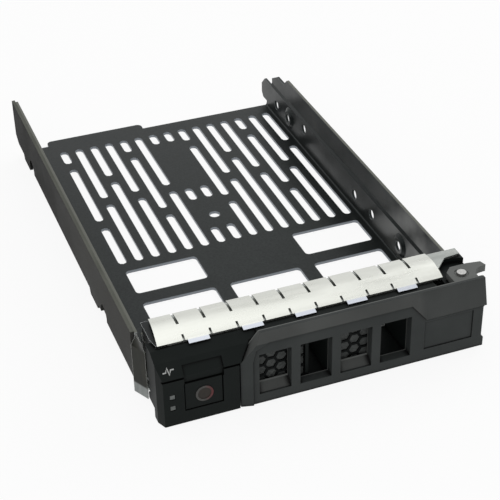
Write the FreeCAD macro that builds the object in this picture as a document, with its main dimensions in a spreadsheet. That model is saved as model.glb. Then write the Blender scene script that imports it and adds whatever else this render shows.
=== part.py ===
"""Hot swap drive caddy: a steel tray for one 3.5 inch drive behind a moulded bezel with a swing lever.

Frame: +X to the right seen from the front, +Y to the back, +Z up. The origin is on the underside of
the tray's floor, on the centre line, 60 mm behind the front pair of drive screws.
Depths in the sheet are measured back from the lever's face; behind() turns them into Y.
"""
import FreeCAD, Part
import Sketcher
import math
import os

SIZES = {
    # frame
    "face_to_origin": 113.0,
    # tray: folded sheet with joggled side walls
    "sheet_gauge": 1.0,
    "lower_half_width": 51.9,
    "joggle_out": 1.2,
    "right_joggle_out": 0.6,
    "joggle_z": 12.5,
    "joggle_height": 1.2,
    "left_wall_top": 23.4,
    "right_wall_top": 22.0,
    "fold_radius": 0.6,
    "tray_front": 19.2,
    "front_wall_top": 22.0,
    "floor_rear": 180.8,
    "tab_rear": 184.7,
    "tab_left": -43.0,
    "tab_right": -3.0,
    "tab_corner": 2.0,
    # tails of the side walls
    "upper_panel_end": 159.2,
    "upper_notch_length": 3.6,
    "upper_fin_top": 18.8,
    "upper_fin_end": 175.4,
    "upper_fin_drop": 3.0,
    "upper_fin_slope": 5.6,
    "lower_fin_end": 185.8,
    "lower_fin_round": 3.4,
    "lower_fin_bottom": 5.0,
    "lower_fin_heel": 1.6,
    "relief_end": 180.0,
    "relief_z": 3.2,
    "left_relief_end": 177.6,
    "left_relief_z": 4.2,
    "left_wall_end": 181.0,
    # floor slots
    "slot_grid_x": 4.7,
    "slot_pitch": 6.21,
    "slot_width": 3.07,
    "slot_front": 87.9,
    "slot_rear": 173.9,
    "bridge_length": 5.2,
    "bridge_front": 115.5,
    "bridge_pitch": 15.3,
    "mid_front_slot": 10.5,
    "mid_middle_depth": 119.3,
    "mid_middle_slot": 8.6,
    "mid_rear_slot": 8.2,
    "locating_hole_x": 2.0,
    "locating_hole_depth": 106.6,
    "locating_hole_radius": 2.0,
    # floor windows
    "window_width": 26.0,
    "window_length": 14.3,
    "window_pitch": 31.4,
    "window_row_pitch": 20.5,
    "window_front": 48.2,
    "window_corner": 1.5,
    # drive screws in the side walls
    "screw_z": 7.35,
    "screw_radius": 1.9,
    "front_screw_depth": 53.0,
    "screw_pitch": 101.6,
    "dimple_radius": 4.4,
    "dimple_land": 2.9,
    "dimple_depth": 1.0,
    # spare holes in the right wall
    "spare_hole_radius": 2.0,
    "spare_hole_z": 6.3,
    "spare_first_depth": 76.6,
    "spare_second_depth": 91.6,
    "spare_last_depth": 169.0,
    "high_hole_depth": 140.0,
    "high_hole_z": 9.6,
    # air slots in the tray's front wall
    "air_slot_width": 3.0,
    "air_slot_pitch": 5.0,
    "air_slot_bottom": 4.0,
    "air_slot_top": 18.0,
    "air_slot_first_x": -27.5,
    # bezel base
    "base_bottom": 0.6,
    "base_top": 24.4,
    "base_face": 3.8,
    "base_left": -50.8,
    "base_right": 55.2,
    "base_lip": 0.8,
    "pod_left": -53.0,
    "pod_right": -27.7,
    "pod_shoulder": -20.3,
    "pod_chamfer_x": 1.35,
    "pod_chamfer_depth": 3.0,
    "pod_rear": 11.4,
    "pod_brow_z": 17.9,
    "pod_slope_depth": 3.1,
    "pod_slope_z": 22.4,
    "pod_crown_depth": 6.9,
    "pod_heel_z": 4.1,
    "pod_heel_depth": 6.0,
    "vent_left": -22.0,
    "vent_rib_left": -4.9,
    "vent_rib_right": 2.5,
    "vent_gap_left": 3.7,
    "vent_gap_right": 19.6,
    "vent_right": 29.8,
    "rib_width": 1.1,
    "shell_wall": 1.5,
    "cavity_left": 31.2,
    "cavity_right": 44.4,
    "cavity_front": 5.8,
    "pivot_block_left": 46.0,
    "pivot_block_front": 10.0,
    # vent screens
    "screen_depth": 4.3,
    "screen_thickness": 1.2,
    "cell_pitch": 3.85,
    "cell_web": 0.75,
    "left_cell_x": -15.9,
    "left_cell_z": 11.2,
    "right_cell_x": 11.9,
    "right_cell_z": 12.5,
    # lever
    "lever_left": -27.3,
    "lever_right": 54.5,
    "lever_bottom": 0.6,
    "lever_top": 25.8,
    "lever_back": 3.4,
    "band_proud": 0.5,
    "shoulder_x": -20.4,
    "shoulder_z": 17.3,
    "border_z": 23.3,
    "border_drop_z": 16.8,
    "border_drop_start": 29.0,
    "border_drop_end": 34.3,
    "bevel_depth": 1.9,
    "end_strip_x": -23.5,
    "end_strip_back": 0.9,
    "bulge_out": 0.8,
    "foot_height": 4.7,
    "port_width": 10.4,
    "port_height": 15.0,
    "port_bottom": 4.1,
    "sill_front": 0.6,
    "sill_rise": 2.5,
    "port_pitch": 13.4,
    "port_first_x": -16.2,
    "label_left": 34.0,
    "label_right": 51.0,
    "label_bottom": 5.0,
    "label_top": 15.6,
    "label_depth": 0.3,
    "ear_bottom": 22.9,
    "ear_top": 25.2,
    "lower_ear_bottom": 1.2,
    "lower_ear_top": 3.6,
    # pivot
    "pivot_x": 49.9,
    "pivot_depth": 7.5,
    "pin_radius": 1.5,
    "pin_bottom": 1.2,
    "pin_top": 25.8,
    "pin_fit": 0.05,
    "pin_ring_radius": 2.3,
    "pin_ring_depth": 0.3,
    "boss_radius": 3.8,
    "boss_top": 18.0,
    "ear_half_width": 4.2,
    "ear_back": 4.4,
    "ear_chamfer": 2.4,
    "nose_reach": 9.4,
    "nose_tip": 1.4,
    "ear_clearance": 0.3,
    "ear_sweep": 9.9,
    "lever_spring_wire": 0.35,
    "lever_spring_radius": 2.5,
    "lever_spring_turns": 4.0,
    # release button
    "button_left": -44.9,
    "button_right": -33.2,
    "button_bottom": 5.4,
    "button_top": 15.1,
    "button_face": 0.2,
    "button_back": 3.0,
    "button_gap": 0.3,
    "button_pocket_depth": 10.6,
    "button_travel": 2.0,
    "ring_x": -38.9,
    "ring_z": 9.9,
    "ring_outer_radius": 2.8,
    "ring_inner_radius": 2.1,
    "ring_proud": 0.15,
    "button_spring_x": -42.9,
    "button_spring_radius": 1.15,
    "button_spring_wire": 0.3,
    "button_spring_turns": 5.0,
    "hood_left": -45.0,
    "hood_right": -32.6,
    "hood_sink": 0.7,
    "hood_top": 20.9,
    "brow_groove_height": 0.7,
    "brow_groove_depth": 0.7,
    # catch and its drive
    "catch_bottom": 6.6,
    "catch_top": 13.2,
    "catch_front": 5.3,
    "catch_thickness": 1.5,
    "catch_tail": -39.4,
    "catch_nose": -27.5,
    "catch_window_left": -37.9,
    "catch_window_right": -33.7,
    "catch_window_bottom": 8.0,
    "catch_window_top": 11.2,
    "catch_travel": 1.5,
    "catch_fit": 0.1,
    "cam_width": 2.5,
    "cam_tip_depth": 8.0,
    "cam_clearance": 0.3,
    # lever's latch tongue
    "tongue_left": -24.9,
    "tongue_right": -23.5,
    "tongue_bottom": 6.8,
    "tongue_top": 13.0,
    "tongue_rear": 8.6,
    "tongue_lip": 1.5,
    "tongue_gap": 0.4,
    "latch_window_left": -27.9,
    "latch_window_right": -22.9,
    "latch_window_gap": 0.8,
    # light pipes and their cover
    "lamp_x": -48.9,
    "lamp_lower_z": 7.2,
    "lamp_upper_z": 11.3,
    "lamp_size": 1.55,
    "lamp_gap": 0.1,
    "lamp_recess": 0.2,
    "pipe_width": 1.0,
    "pipe_gap": 0.1,
    "pipe_bend_start": 5.0,
    "pipe_bend_end": 16.5,
    "pipe_rear": 178.0,
    "pipe_rise_start": 17.0,
    "pipe_rise_end": 30.0,
    "pipe_height": 0.7,
    "pipe_rail_z": 10.9,
    "pipe_spacing": 0.8,
    "cover_front": 19.5,
    "cover_rear": 182.0,
    "cover_top": 23.7,
    "cover_bottom": 6.5,
    "cover_thickness": 1.2,
    "cover_heel_z": 8.8,
    "cover_heel_length": 4.0,
    "cover_tab_drop": 2.0,
    "cover_tab_length": 11.0,
    "cover_tab_depth": 60.0,
    "cover_tab_pitch": 98.0,
    "clip_depth": 40.0,
    "clip_length": 3.0,
    "clip_height": 1.2,
    "screw_access_radius": 3.5,
    "clip_pitch": 44.0,
    # front shield
    "shield_gauge": 0.8,
    "shield_front": 8.0,
    "shield_right": 54.7,
    "flange_front": 11.8,
    "flange_bottom": 13.6,
    "rear_flange_drop": 5.4,
    "rear_flange_half": 50.5,
    "notch_inner_x": 43.3,
    "notch_inner_depth": 11.4,
    "notch_outer_x": 49.0,
    "notch_outer_depth": 17.2,
    "notch_rear_depth": 17.8,
    # spring strips
    "strip_gauge": 0.3,
    "strip_left": -50.5,
    "strip_right": 43.5,
    "strip_front": 7.8,
    "strip_rear": 20.5,
    "strip_crest": 15.5,
    "strip_rise": 1.7,
    "finger_pitch": 8.55,
    "first_gap_x": -41.95,
    "rear_gap_width": 0.9,
    "rear_gap_length": 6.5,
    "front_gap_width": 0.7,
    "front_gap_length": 2.0,
    "lip_width": 6.6,
    "lip_reach": 1.6,
    "lip_drop": 0.65,
    "strip_trim": 1.4,
    "wing_gauge": 0.25,
    "wing_bottom": 3.2,
    "wing_top": 20.9,
    "wing_leg_bottom": 14.0,
    "wing_leg_rear": 18.5,
    "wing_fold_depth": 11.7,
    "wing_fold_x": -53.3,
    "wing_tip_x": -56.0,
    "wing_tip_depth": 17.0,
    "wing_crown_x": -54.2,
    "wing_crown_z": 24.3,
    # rivets
    "rivet_radius": 0.9,
    "rivet_head_radius": 1.7,
    "rivet_head_height": 0.6,
    "rivet_grip": 2.0,
    "rivet_left_x": -41.0,
    "rivet_right_x": 48.5,
    "rivet_upper_z": 20.6,
    "rivet_lower_z": 6.0,
    "rivet_fit": 0.05,
}
SLOT_COLUMNS = 15
PORTS = 4
FINGERS = 11
AIR_SLOTS = 14
CELL_COLUMNS = 3
CELL_ROWS = 5
LIPS = 5
SLOT_END_FLATS = 4
COIL_SIDES = 12
RIVET_SIDES = 12
OVERRUN = 1.0
BASE_SLACK = 0.02
NEGLIGIBLE = 1e-6

doc = FreeCAD.newDocument("drive_caddy")
sheet = doc.addObject("Spreadsheet::Sheet", "Sizes")
for row, (alias, number) in enumerate(SIZES.items(), start=1):
    sheet.set(f"A{row}", alias.replace("_", " "))
    sheet.set(f"B{row}", str(number))
    sheet.setAlias(f"B{row}", alias)
doc.recompute()


class Size:
    """A length that knows its number and the sheet expression it comes from."""

    def __init__(self, number, text):
        self.number = number
        self.text = text

    def __add__(self, other):
        other = as_size(other)
        return Size(self.number + other.number, f"({self.text} + {other.text})")

    def __sub__(self, other):
        other = as_size(other)
        return Size(self.number - other.number, f"({self.text} - {other.text})")

    def __mul__(self, other):
        other = as_size(other)
        return Size(self.number * other.number, f"({self.text} * {other.text})")

    def __truediv__(self, other):
        other = as_size(other)
        return Size(self.number / other.number, f"({self.text} / {other.text})")

    def __neg__(self):
        return Size(-self.number, f"(0 - {self.text})")


def as_size(value):
    """A plain number becomes a Size that spells itself out."""
    return value if isinstance(value, Size) else Size(float(value), repr(float(value)))


class Sheet:
    """The sheet's cells as Sizes, by alias."""

    def __getattr__(self, alias):
        return Size(sheet.get(alias), f"Sizes.{alias}")


s = Sheet()


def behind(depth):
    """Y of a place that lies the given depth behind the lever's face."""
    return as_size(depth) - s.face_to_origin


# ---------------------------------------------------------------- sketches and features

def origin_plane(body, role):
    return next(f for f in body.Origin.OriginFeatures if f.Role == role)


def new_body(node):
    body = doc.addObject("PartDesign::Body", node)
    body.Label = node
    return body


def new_sketch(body, name, plane, offset):
    """A sketch on one of the body's origin planes, moved along +X, +Y or +Z by offset."""
    sketch = body.newObject("Sketcher::SketchObject", name)
    sketch.AttachmentSupport = [(origin_plane(body, plane), "")]
    sketch.MapMode = "FlatFace"
    along = -as_size(offset) if plane == "XZ_Plane" else as_size(offset)
    sketch.setExpression("AttachmentOffset.Base.z", along.text)
    return sketch


def constrain(sketch, kind, geometry, point, size):
    """One driving constraint, bound to the sheet."""
    if kind == "Radius":
        index = sketch.addConstraint(Sketcher.Constraint(kind, geometry, size.number))
    else:
        index = sketch.addConstraint(Sketcher.Constraint(kind, geometry, point, size.number))
    sketch.setExpression(f"Constraints[{index}]", size.text)


def vector(point):
    return FreeCAD.Vector(point[0].number, point[1].number, 0)


def polygon(sketch, corners):
    """A closed outline through the given corners, each held at its own place."""
    corners = [(as_size(u), as_size(v)) for u, v in corners]
    first = sketch.GeometryCount
    count = len(corners)
    sketch.addGeometry(
        [Part.LineSegment(vector(corners[i]), vector(corners[(i + 1) % count])) for i in range(count)], False)
    sketch.addConstraint(
        [Sketcher.Constraint("Coincident", first + i, 2, first + (i + 1) % count, 1) for i in range(count)])
    for i, (u, v) in enumerate(corners):
        constrain(sketch, "DistanceX", first + i, 1, u)
        constrain(sketch, "DistanceY", first + i, 1, v)


def rectangle(sketch, left, right, bottom, top):
    polygon(sketch, [(left, bottom), (right, bottom), (right, top), (left, top)])


def circle(sketch, u, v, radius):
    u, v, radius = as_size(u), as_size(v), as_size(radius)
    index = sketch.addGeometry(Part.Circle(vector((u, v)), FreeCAD.Vector(0, 0, 1), radius.number), False)
    constrain(sketch, "DistanceX", index, 3, u)
    constrain(sketch, "DistanceY", index, 3, v)
    constrain(sketch, "Radius", index, None, radius)


def round_slot(sketch, u, start, end, width):
    """A slot along the sketch's second axis, with a few flats round each of its ends."""
    radius = as_size(width) / 2
    low, high = as_size(start) + radius, as_size(end) - radius
    corners = []
    for centre, first in ((low, math.pi), (high, 0)):
        for i in range(SLOT_END_FLATS + 1):
            angle = first + math.pi * i / SLOT_END_FLATS
            corners.append((u + radius * math.cos(angle), centre + radius * math.sin(angle)))
    polygon(sketch, corners)


def round_rectangle(sketch, left, right, bottom, top, radius):
    """A rectangle with equal round corners."""
    radius = as_size(radius)
    left, right = as_size(left) + radius, as_size(right) - radius
    bottom, top = as_size(bottom) + radius, as_size(top) - radius
    centres = [(left, bottom), (right, bottom), (right, top), (left, top)]
    up = FreeCAD.Vector(0, 0, 1)
    arcs = []
    for i, centre in enumerate(centres):
        start = math.pi + i * math.pi / 2
        whole = Part.Circle(vector(centre), up, radius.number)
        arcs.append(Part.ArcOfCircle(whole, start, start + math.pi / 2))
    first = sketch.GeometryCount
    for i, arc in enumerate(arcs):
        sketch.addGeometry([arc, Part.LineSegment(arc.EndPoint, arcs[(i + 1) % 4].StartPoint)], False)
    for i in range(8):
        sketch.addConstraint(Sketcher.Constraint("Tangent", first + i, 2, first + (i + 1) % 8, 1))
    for i, (u, v) in enumerate(centres):
        constrain(sketch, "DistanceX", first + 2 * i, 3, u)
        constrain(sketch, "DistanceY", first + 2 * i, 3, v)
        constrain(sketch, "Radius", first + 2 * i, None, radius)


def hexagon(sketch, u, v, across_flats):
    """A cell with flats above and below."""
    flat = as_size(across_flats) / 2
    corner = flat / math.cos(math.pi / 6)
    polygon(sketch, [(u + corner, v), (u + corner / 2, v + flat), (u - corner / 2, v + flat),
                     (u - corner, v), (u - corner / 2, v - flat), (u + corner / 2, v - flat)])


def extrude(body, name, plane, start, end, draw, cut=False):
    """Pad or pocket what draw() puts on a sketch, from start to end along the plane's axis."""
    sketch = new_sketch(body, f"{name}_sketch", plane, start)
    draw(sketch)
    feature = body.newObject("PartDesign::Pocket" if cut else "PartDesign::Pad", name)
    feature.Profile = sketch
    feature.setExpression("Length", (as_size(end) - as_size(start)).text)
    feature.Reversed = cut != (plane == "XZ_Plane")
    sketch.Visibility = False
    return feature


def cut(body, name, plane, start, end, draw):
    return extrude(body, name, plane, start, end, draw, cut=True)


def loft(body, name, plane, sections, subtract=False):
    """A ruled loft between (offset, corners) sections on parallel planes."""
    sketches = []
    for i, (offset, corners) in enumerate(sections):
        sketch = new_sketch(body, f"{name}_section_{i}", plane, offset)
        polygon(sketch, corners)
        sketches.append(sketch)
    feature = body.newObject("PartDesign::SubtractiveLoft" if subtract else "PartDesign::AdditiveLoft", name)
    feature.Profile = sketches[0]
    feature.Sections = sketches[1:]
    feature.Ruled = True
    return feature


def repeat(body, name, feature, axis, step, count):
    """A row of copies of a feature along the sketch's first (H_Axis) or second (V_Axis) axis."""
    pattern = body.newObject("PartDesign::LinearPattern", name)
    pattern.Originals = [feature]
    pattern.Direction = (feature.Profile[0], [axis])
    pattern.setExpression("Length", (as_size(step) * (count - 1)).text)
    pattern.Occurrences = count
    body.Tip = pattern
    return pattern


def straight_edges(shape, direction, places):
    """Names of the straight edges along direction that pass through any of the given places."""
    names = []
    for index, edge in enumerate(shape.Edges, start=1):
        if edge.Curve.TypeId != "Part::GeomLine":
            continue
        ends = [v.Point for v in edge.Vertexes]
        along = (ends[-1] - ends[0]).normalize()
        if abs(abs(along.dot(direction)) - 1) > 1e-6:
            continue
        for place in places:
            offset = ends[0] - place
            if (offset - direction * offset.dot(direction)).Length < 1e-3:
                names.append(f"Edge{index}")
                break
    return names


def round_edges(body, name, radius, direction, places):
    """Fillet the straight edges along direction that pass through the given places."""
    doc.recompute()
    base = body.Tip
    points = [FreeCAD.Vector(*(as_size(c).number for c in place)) for place in places]
    feature = body.newObject("PartDesign::Fillet", name)
    feature.Base = (base, straight_edges(base.Shape, direction, points))
    feature.setExpression("Radius", as_size(radius).text)
    body.Tip = feature
    return feature


ALONG_X = FreeCAD.Vector(1, 0, 0)
ALONG_Y = FreeCAD.Vector(0, 1, 0)
ALONG_Z = FreeCAD.Vector(0, 0, 1)

# ---------------------------------------------------------------- places that several pieces share

lower_outer = s.lower_half_width + s.sheet_gauge
left_upper_outer = lower_outer + s.joggle_out
right_upper_outer = lower_outer + s.right_joggle_out
tray_wall_back = s.tray_front + s.sheet_gauge
shield_top = s.base_top + s.shield_gauge
pivot_y = behind(s.pivot_depth)


# ---------------------------------------------------------------- tray

def slot_column(sketch, column, spans):
    x = s.slot_grid_x + s.slot_pitch * (column - (SLOT_COLUMNS - 1) / 2)
    for start, end in spans:
        round_slot(sketch, x, behind(start), behind(end), s.slot_width)


def bridged(*bridges):
    """The slots of a column that is crossed by the bridges with the given numbers."""
    spans = []
    start = s.slot_front
    for number in bridges:
        centre = s.bridge_front + s.bridge_pitch * number
        spans.append((start, centre - s.bridge_length / 2))
        start = centre + s.bridge_length / 2
    spans.append((start, s.slot_rear))
    return spans


def wall_section(joggle_out, top):
    """Corners of one side wall from the floor up its outer face and down its inner face."""
    joggle_end = s.joggle_z + s.joggle_height
    upper_inner = s.lower_half_width + joggle_out
    upper_outer = lower_outer + joggle_out
    return [(lower_outer, 0), (lower_outer, s.joggle_z), (upper_outer, joggle_end), (upper_outer, top),
            (upper_inner, top), (upper_inner, joggle_end), (s.lower_half_width, s.joggle_z),
            (s.lower_half_width, s.sheet_gauge)]


def tray_section(sketch):
    """The folded sheet seen from the front: floor, lower panels, joggles, upper panels."""
    right = wall_section(s.right_joggle_out, s.right_wall_top)
    left = wall_section(s.joggle_out, s.left_wall_top)
    polygon(sketch, right + [(-x, z) for x, z in reversed(left)])


def right_tail(sketch):
    """What is cut away behind the right wall: a notch, a fin above, a longer fin below."""
    top = s.left_wall_top + OVERRUN
    end = behind(s.lower_fin_end + OVERRUN)
    fin_end = behind(s.upper_fin_end)
    polygon(sketch, [
        (behind(s.upper_panel_end), top),
        (behind(s.upper_panel_end), s.right_wall_top),
        (behind(s.upper_panel_end + s.upper_notch_length), s.upper_fin_top),
        (fin_end - s.upper_fin_slope, s.upper_fin_top),
        (fin_end, s.upper_fin_top - s.upper_fin_drop),
        (fin_end, s.joggle_z),
        (behind(s.lower_fin_end - s.lower_fin_round), s.joggle_z),
        (behind(s.lower_fin_end), s.joggle_z - s.lower_fin_round),
        (behind(s.lower_fin_end), s.lower_fin_bottom),
        (behind(s.lower_fin_end - s.lower_fin_heel), s.relief_z),
        (behind(s.relief_end), s.relief_z),
        (behind(s.floor_rear), s.sheet_gauge),
        (behind(s.floor_rear), -OVERRUN),
        (end, -OVERRUN),
        (end, top)])


def left_tail(sketch):
    """What is cut away behind the left wall, which ends square with a heel below."""
    end = behind(s.lower_fin_end + OVERRUN)
    polygon(sketch, [
        (behind(s.left_wall_end), s.left_wall_top + OVERRUN),
        (behind(s.left_wall_end), s.cover_heel_z),
        (behind(s.left_relief_end), s.left_relief_z),
        (behind(s.floor_rear - OVERRUN), s.sheet_gauge),
        (behind(s.floor_rear), -OVERRUN),
        (end, -OVERRUN),
        (end, s.left_wall_top + OVERRUN)])


def floor_tail(sketch):
    """What is cut away behind the floor, round its tab."""
    wall_root = s.lower_half_width - s.fold_radius
    end = behind(s.lower_fin_end + OVERRUN)
    polygon(sketch, [
        (-wall_root, behind(s.floor_rear)), (s.tab_left, behind(s.floor_rear)),
        (s.tab_left, behind(s.tab_rear)), (s.tab_right, behind(s.tab_rear)),
        (s.tab_right, behind(s.floor_rear)), (wall_root, behind(s.floor_rear)),
        (wall_root, end), (-wall_root, end)])


def make_tray():
    body = new_body("tray")
    extrude(body, "folded_sheet", "XZ_Plane", behind(s.tray_front), behind(s.lower_fin_end), tray_section)
    round_edges(body, "outer_folds", s.fold_radius + s.sheet_gauge, ALONG_Y,
                [(side * lower_outer.number, 0, 0) for side in (-1, 1)])
    round_edges(body, "inner_folds", s.fold_radius, ALONG_Y,
                [(side * s.lower_half_width.number, 0, s.sheet_gauge) for side in (-1, 1)])
    wall_root = s.lower_half_width - s.fold_radius
    wall_out = left_upper_outer + OVERRUN
    cut(body, "right_tail", "YZ_Plane", wall_root, wall_out, right_tail)
    cut(body, "left_tail", "YZ_Plane", -wall_out, -wall_root, left_tail)
    cut(body, "floor_tail", "XY_Plane", -OVERRUN, s.sheet_gauge + OVERRUN, floor_tail)
    round_edges(body, "tab_corners", s.tab_corner, ALONG_Z,
                [(x, behind(s.tab_rear), 0) for x in (s.tab_left, s.tab_right)])
    cut(body, "spare_holes", "YZ_Plane", wall_root, wall_out, spare_holes)
    make_front_wall(body)
    make_screw_seats(body)
    make_floor_openings(body)
    for feature in body.Group:
        if "Refine" in feature.PropertiesList:
            feature.Refine = False
    return body


def spare_holes(sketch):
    """Unused holes in the right wall, one of them higher than the rest."""
    for depth in (s.spare_first_depth, s.spare_second_depth, s.spare_last_depth):
        circle(sketch, behind(depth), s.spare_hole_z, s.spare_hole_radius)
    circle(sketch, behind(s.high_hole_depth), s.high_hole_z, s.spare_hole_radius)


def make_front_wall(body):
    """The wall that the bezel is riveted to, with a row of air slots."""
    front, back = behind(s.tray_front), behind(tray_wall_back)
    extrude(body, "front_wall", "XZ_Plane", front, back, lambda k: rectangle(
        k, -s.lower_half_width, s.lower_half_width, s.sheet_gauge, s.front_wall_top))
    slot = cut(body, "air_slot", "XZ_Plane", front - OVERRUN, back + OVERRUN, lambda k: rectangle(
        k, s.air_slot_first_x - s.air_slot_width / 2, s.air_slot_first_x + s.air_slot_width / 2,
        s.air_slot_bottom, s.air_slot_top))
    repeat(body, "air_slots", slot, "H_Axis", s.air_slot_pitch, AIR_SLOTS)
    cut(body, "rivet_holes", "XZ_Plane", front - OVERRUN, back + OVERRUN,
        lambda k: rivet_circles(k, s.rivet_radius + s.rivet_fit))


def make_floor_openings(body):
    """Rows of round-ended slots behind, rectangular windows in front, one locating hole."""
    through = (-OVERRUN, s.sheet_gauge + OVERRUN)
    cut(body, "locating_hole", "XY_Plane", *through,
        lambda k: circle(k, s.locating_hole_x, behind(s.locating_hole_depth), s.locating_hole_radius))
    left = s.slot_grid_x - s.window_pitch - s.window_width / 2
    front = behind(s.window_front)
    rear = front + s.window_row_pitch
    rows = [("front", front, s.window_pitch, 3), ("rear", rear, s.window_pitch * 2, 2)]
    for name, start, step, count in rows:
        window = cut(body, f"{name}_window", "XY_Plane", *through, lambda k: round_rectangle(
            k, left, left + s.window_width, start, start + s.window_length, s.window_corner))
        repeat(body, f"{name}_windows", window, "H_Axis", step, count)
    full_period = s.slot_pitch * 4
    half_period = s.slot_pitch * 2
    middle = [(s.slot_front, s.slot_front + s.mid_front_slot),
              (s.mid_middle_depth, s.mid_middle_depth + s.mid_middle_slot),
              (s.slot_rear - s.mid_rear_slot, s.slot_rear)]
    groups = [
        ("outer_bridges", 0, bridged(0, 3), full_period, 4),
        ("front_bridges_left", 1, bridged(1), half_period, 3),
        ("front_bridges_right", 9, bridged(1), half_period, 3),
        ("rear_bridges_left", 2, bridged(2), half_period, 1),
        ("rear_bridges_right", 10, bridged(2), full_period, 2),
        ("plain_middle", 6, middle, s.slot_pitch, 2)]
    for name, column, spans, step, count in groups:
        feature = cut(body, name, "XY_Plane", *through, lambda k: slot_column(k, column, spans))
        if count > 1:
            repeat(body, f"{name}_row", feature, "H_Axis", step, count)


def screw_places():
    """Y of the front and rear drive screws."""
    front = behind(s.front_screw_depth)
    return front, front + s.screw_pitch


def make_screw_seats(body):
    """Two drive screw seats in each side wall."""
    for side, name in ((-1, "left"), (1, "right")):
        for place, y in zip(("front", "rear"), screw_places()):
            screw_seat(body, f"{name}_{place}_seat", side, y)


def screw_seat(body, name, side, y):
    """A cone pressed inwards from the wall, with a flat land round the screw hole."""
    wall_in = s.lower_half_width * side
    wall_out = lower_outer * side
    land_in = wall_in - s.dimple_depth * side
    land_out = wall_out - s.dimple_depth * side
    low, high = (wall_out, wall_in) if side < 0 else (wall_in, wall_out)
    cut(body, f"{name}_blank", "YZ_Plane", low, high, lambda k: circle(k, y, s.screw_z, s.dimple_radius))
    sketch = new_sketch(body, f"{name}_profile", "XY_Plane", s.screw_z)
    sketch.setExpression("AttachmentOffset.Base.y", as_size(y).text)
    polygon(sketch, [(wall_out, s.dimple_radius), (wall_in, s.dimple_radius), (land_in, s.dimple_land),
                     (land_in, s.screw_radius), (land_out, s.screw_radius), (land_out, s.dimple_land)])
    cone = body.newObject("PartDesign::Revolution", name)
    cone.Profile = sketch
    cone.ReferenceAxis = (sketch, ["H_Axis"])
    cone.Angle = 360


def rivet_circles(sketch, radius):
    for x in (s.rivet_left_x, s.rivet_right_x):
        for z in (s.rivet_lower_z, s.rivet_upper_z):
            circle(sketch, x, z, radius)


# ---------------------------------------------------------------- bezel base

def base_plan(sketch):
    """The bezel base from above: pod at the left, vent front, open corner for the lever's pivot."""
    polygon(sketch, [
        (s.pod_left + s.pod_chamfer_x, behind(0)),
        (s.pod_shoulder, behind(0)),
        (s.pod_shoulder, behind(s.base_face)),
        (s.pivot_block_left, behind(s.base_face)),
        (s.pivot_block_left, behind(s.pivot_block_front)),
        (s.base_right, behind(s.pivot_block_front)),
        (s.base_right, behind(s.tray_front)),
        (s.base_left, behind(s.tray_front)),
        (s.base_left, behind(s.pod_rear)),
        (s.pod_left, behind(s.pod_rear)),
        (s.pod_left, behind(s.pod_chamfer_depth))])


def pod_brow(sketch):
    """The two slopes above the pod's face."""
    above = s.base_top + OVERRUN
    polygon(sketch, [
        (behind(-OVERRUN), s.pod_brow_z), (behind(0), s.pod_brow_z),
        (behind(s.pod_slope_depth), s.pod_slope_z), (behind(s.pod_crown_depth), s.base_top),
        (behind(s.pod_crown_depth), above), (behind(-OVERRUN), above)])


def shoulder_room(sketch):
    """The room for the lever's left end, whose raked shoulder the pod follows."""
    rake = (s.shoulder_x - s.lever_left) / (s.lever_top - s.shoulder_z)
    top = s.base_top + OVERRUN
    right = s.pod_shoulder + OVERRUN
    polygon(sketch, [
        (s.pod_right, s.base_bottom - OVERRUN), (right, s.base_bottom - OVERRUN), (right, top),
        (s.pod_right + rake * (top - s.shoulder_z), top), (s.pod_right, s.shoulder_z)])


def button_hood(sketch):
    """The shallow sunk field above the button, which follows the face and the first slope."""
    slope = s.pod_slope_depth / (s.pod_slope_z - s.pod_brow_z)
    top_depth = slope * (s.hood_top - s.pod_brow_z)
    polygon(sketch, [
        (behind(-OVERRUN), s.button_top), (behind(s.hood_sink), s.button_top),
        (behind(s.hood_sink), s.pod_brow_z),
        (behind(s.hood_sink) + top_depth, s.hood_top),
        (behind(-OVERRUN) + top_depth, s.hood_top)])


def make_bezel_base():
    body = new_body("bezel_base")
    extrude(body, "block", "XY_Plane", s.base_bottom, s.base_top, base_plan)
    cut(body, "brow", "YZ_Plane", s.pod_left - OVERRUN, s.pod_shoulder, pod_brow)
    cut(body, "shoulder_room", "XZ_Plane", behind(0), behind(s.base_face), shoulder_room)
    for side, left, right in (("left", s.pod_left, s.hood_left), ("right", s.hood_right, s.pod_shoulder)):
        cut(body, f"brow_groove_{side}", "YZ_Plane", left, right, lambda k: rectangle(
            k, behind(-OVERRUN), behind(s.brow_groove_depth),
            s.pod_brow_z - s.brow_groove_height, s.pod_brow_z))
    cut(body, "front_lip", "YZ_Plane", s.pod_shoulder, s.pivot_block_left + OVERRUN,
        lambda k: polygon(k, [(behind(s.base_face), s.base_top - s.base_lip),
                              (behind(s.base_face + s.base_lip), s.base_top),
                              (behind(s.base_face), s.base_top)]))
    cut(body, "pod_heel", "XY_Plane", s.base_bottom, s.pod_heel_z,
        lambda k: rectangle(k, s.pod_left, s.base_left, behind(s.pod_heel_depth), behind(s.pod_rear)))
    cut_button_pocket(body)
    cut_lamp_channels(body)
    cut_vents(body)
    shape_pivot(body)
    cut(body, "rivet_bores", "XZ_Plane", behind(s.tray_front - s.rivet_grip), behind(s.tray_front),
        lambda k: rivet_circles(k, s.rivet_radius + s.rivet_fit))
    return body


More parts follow.
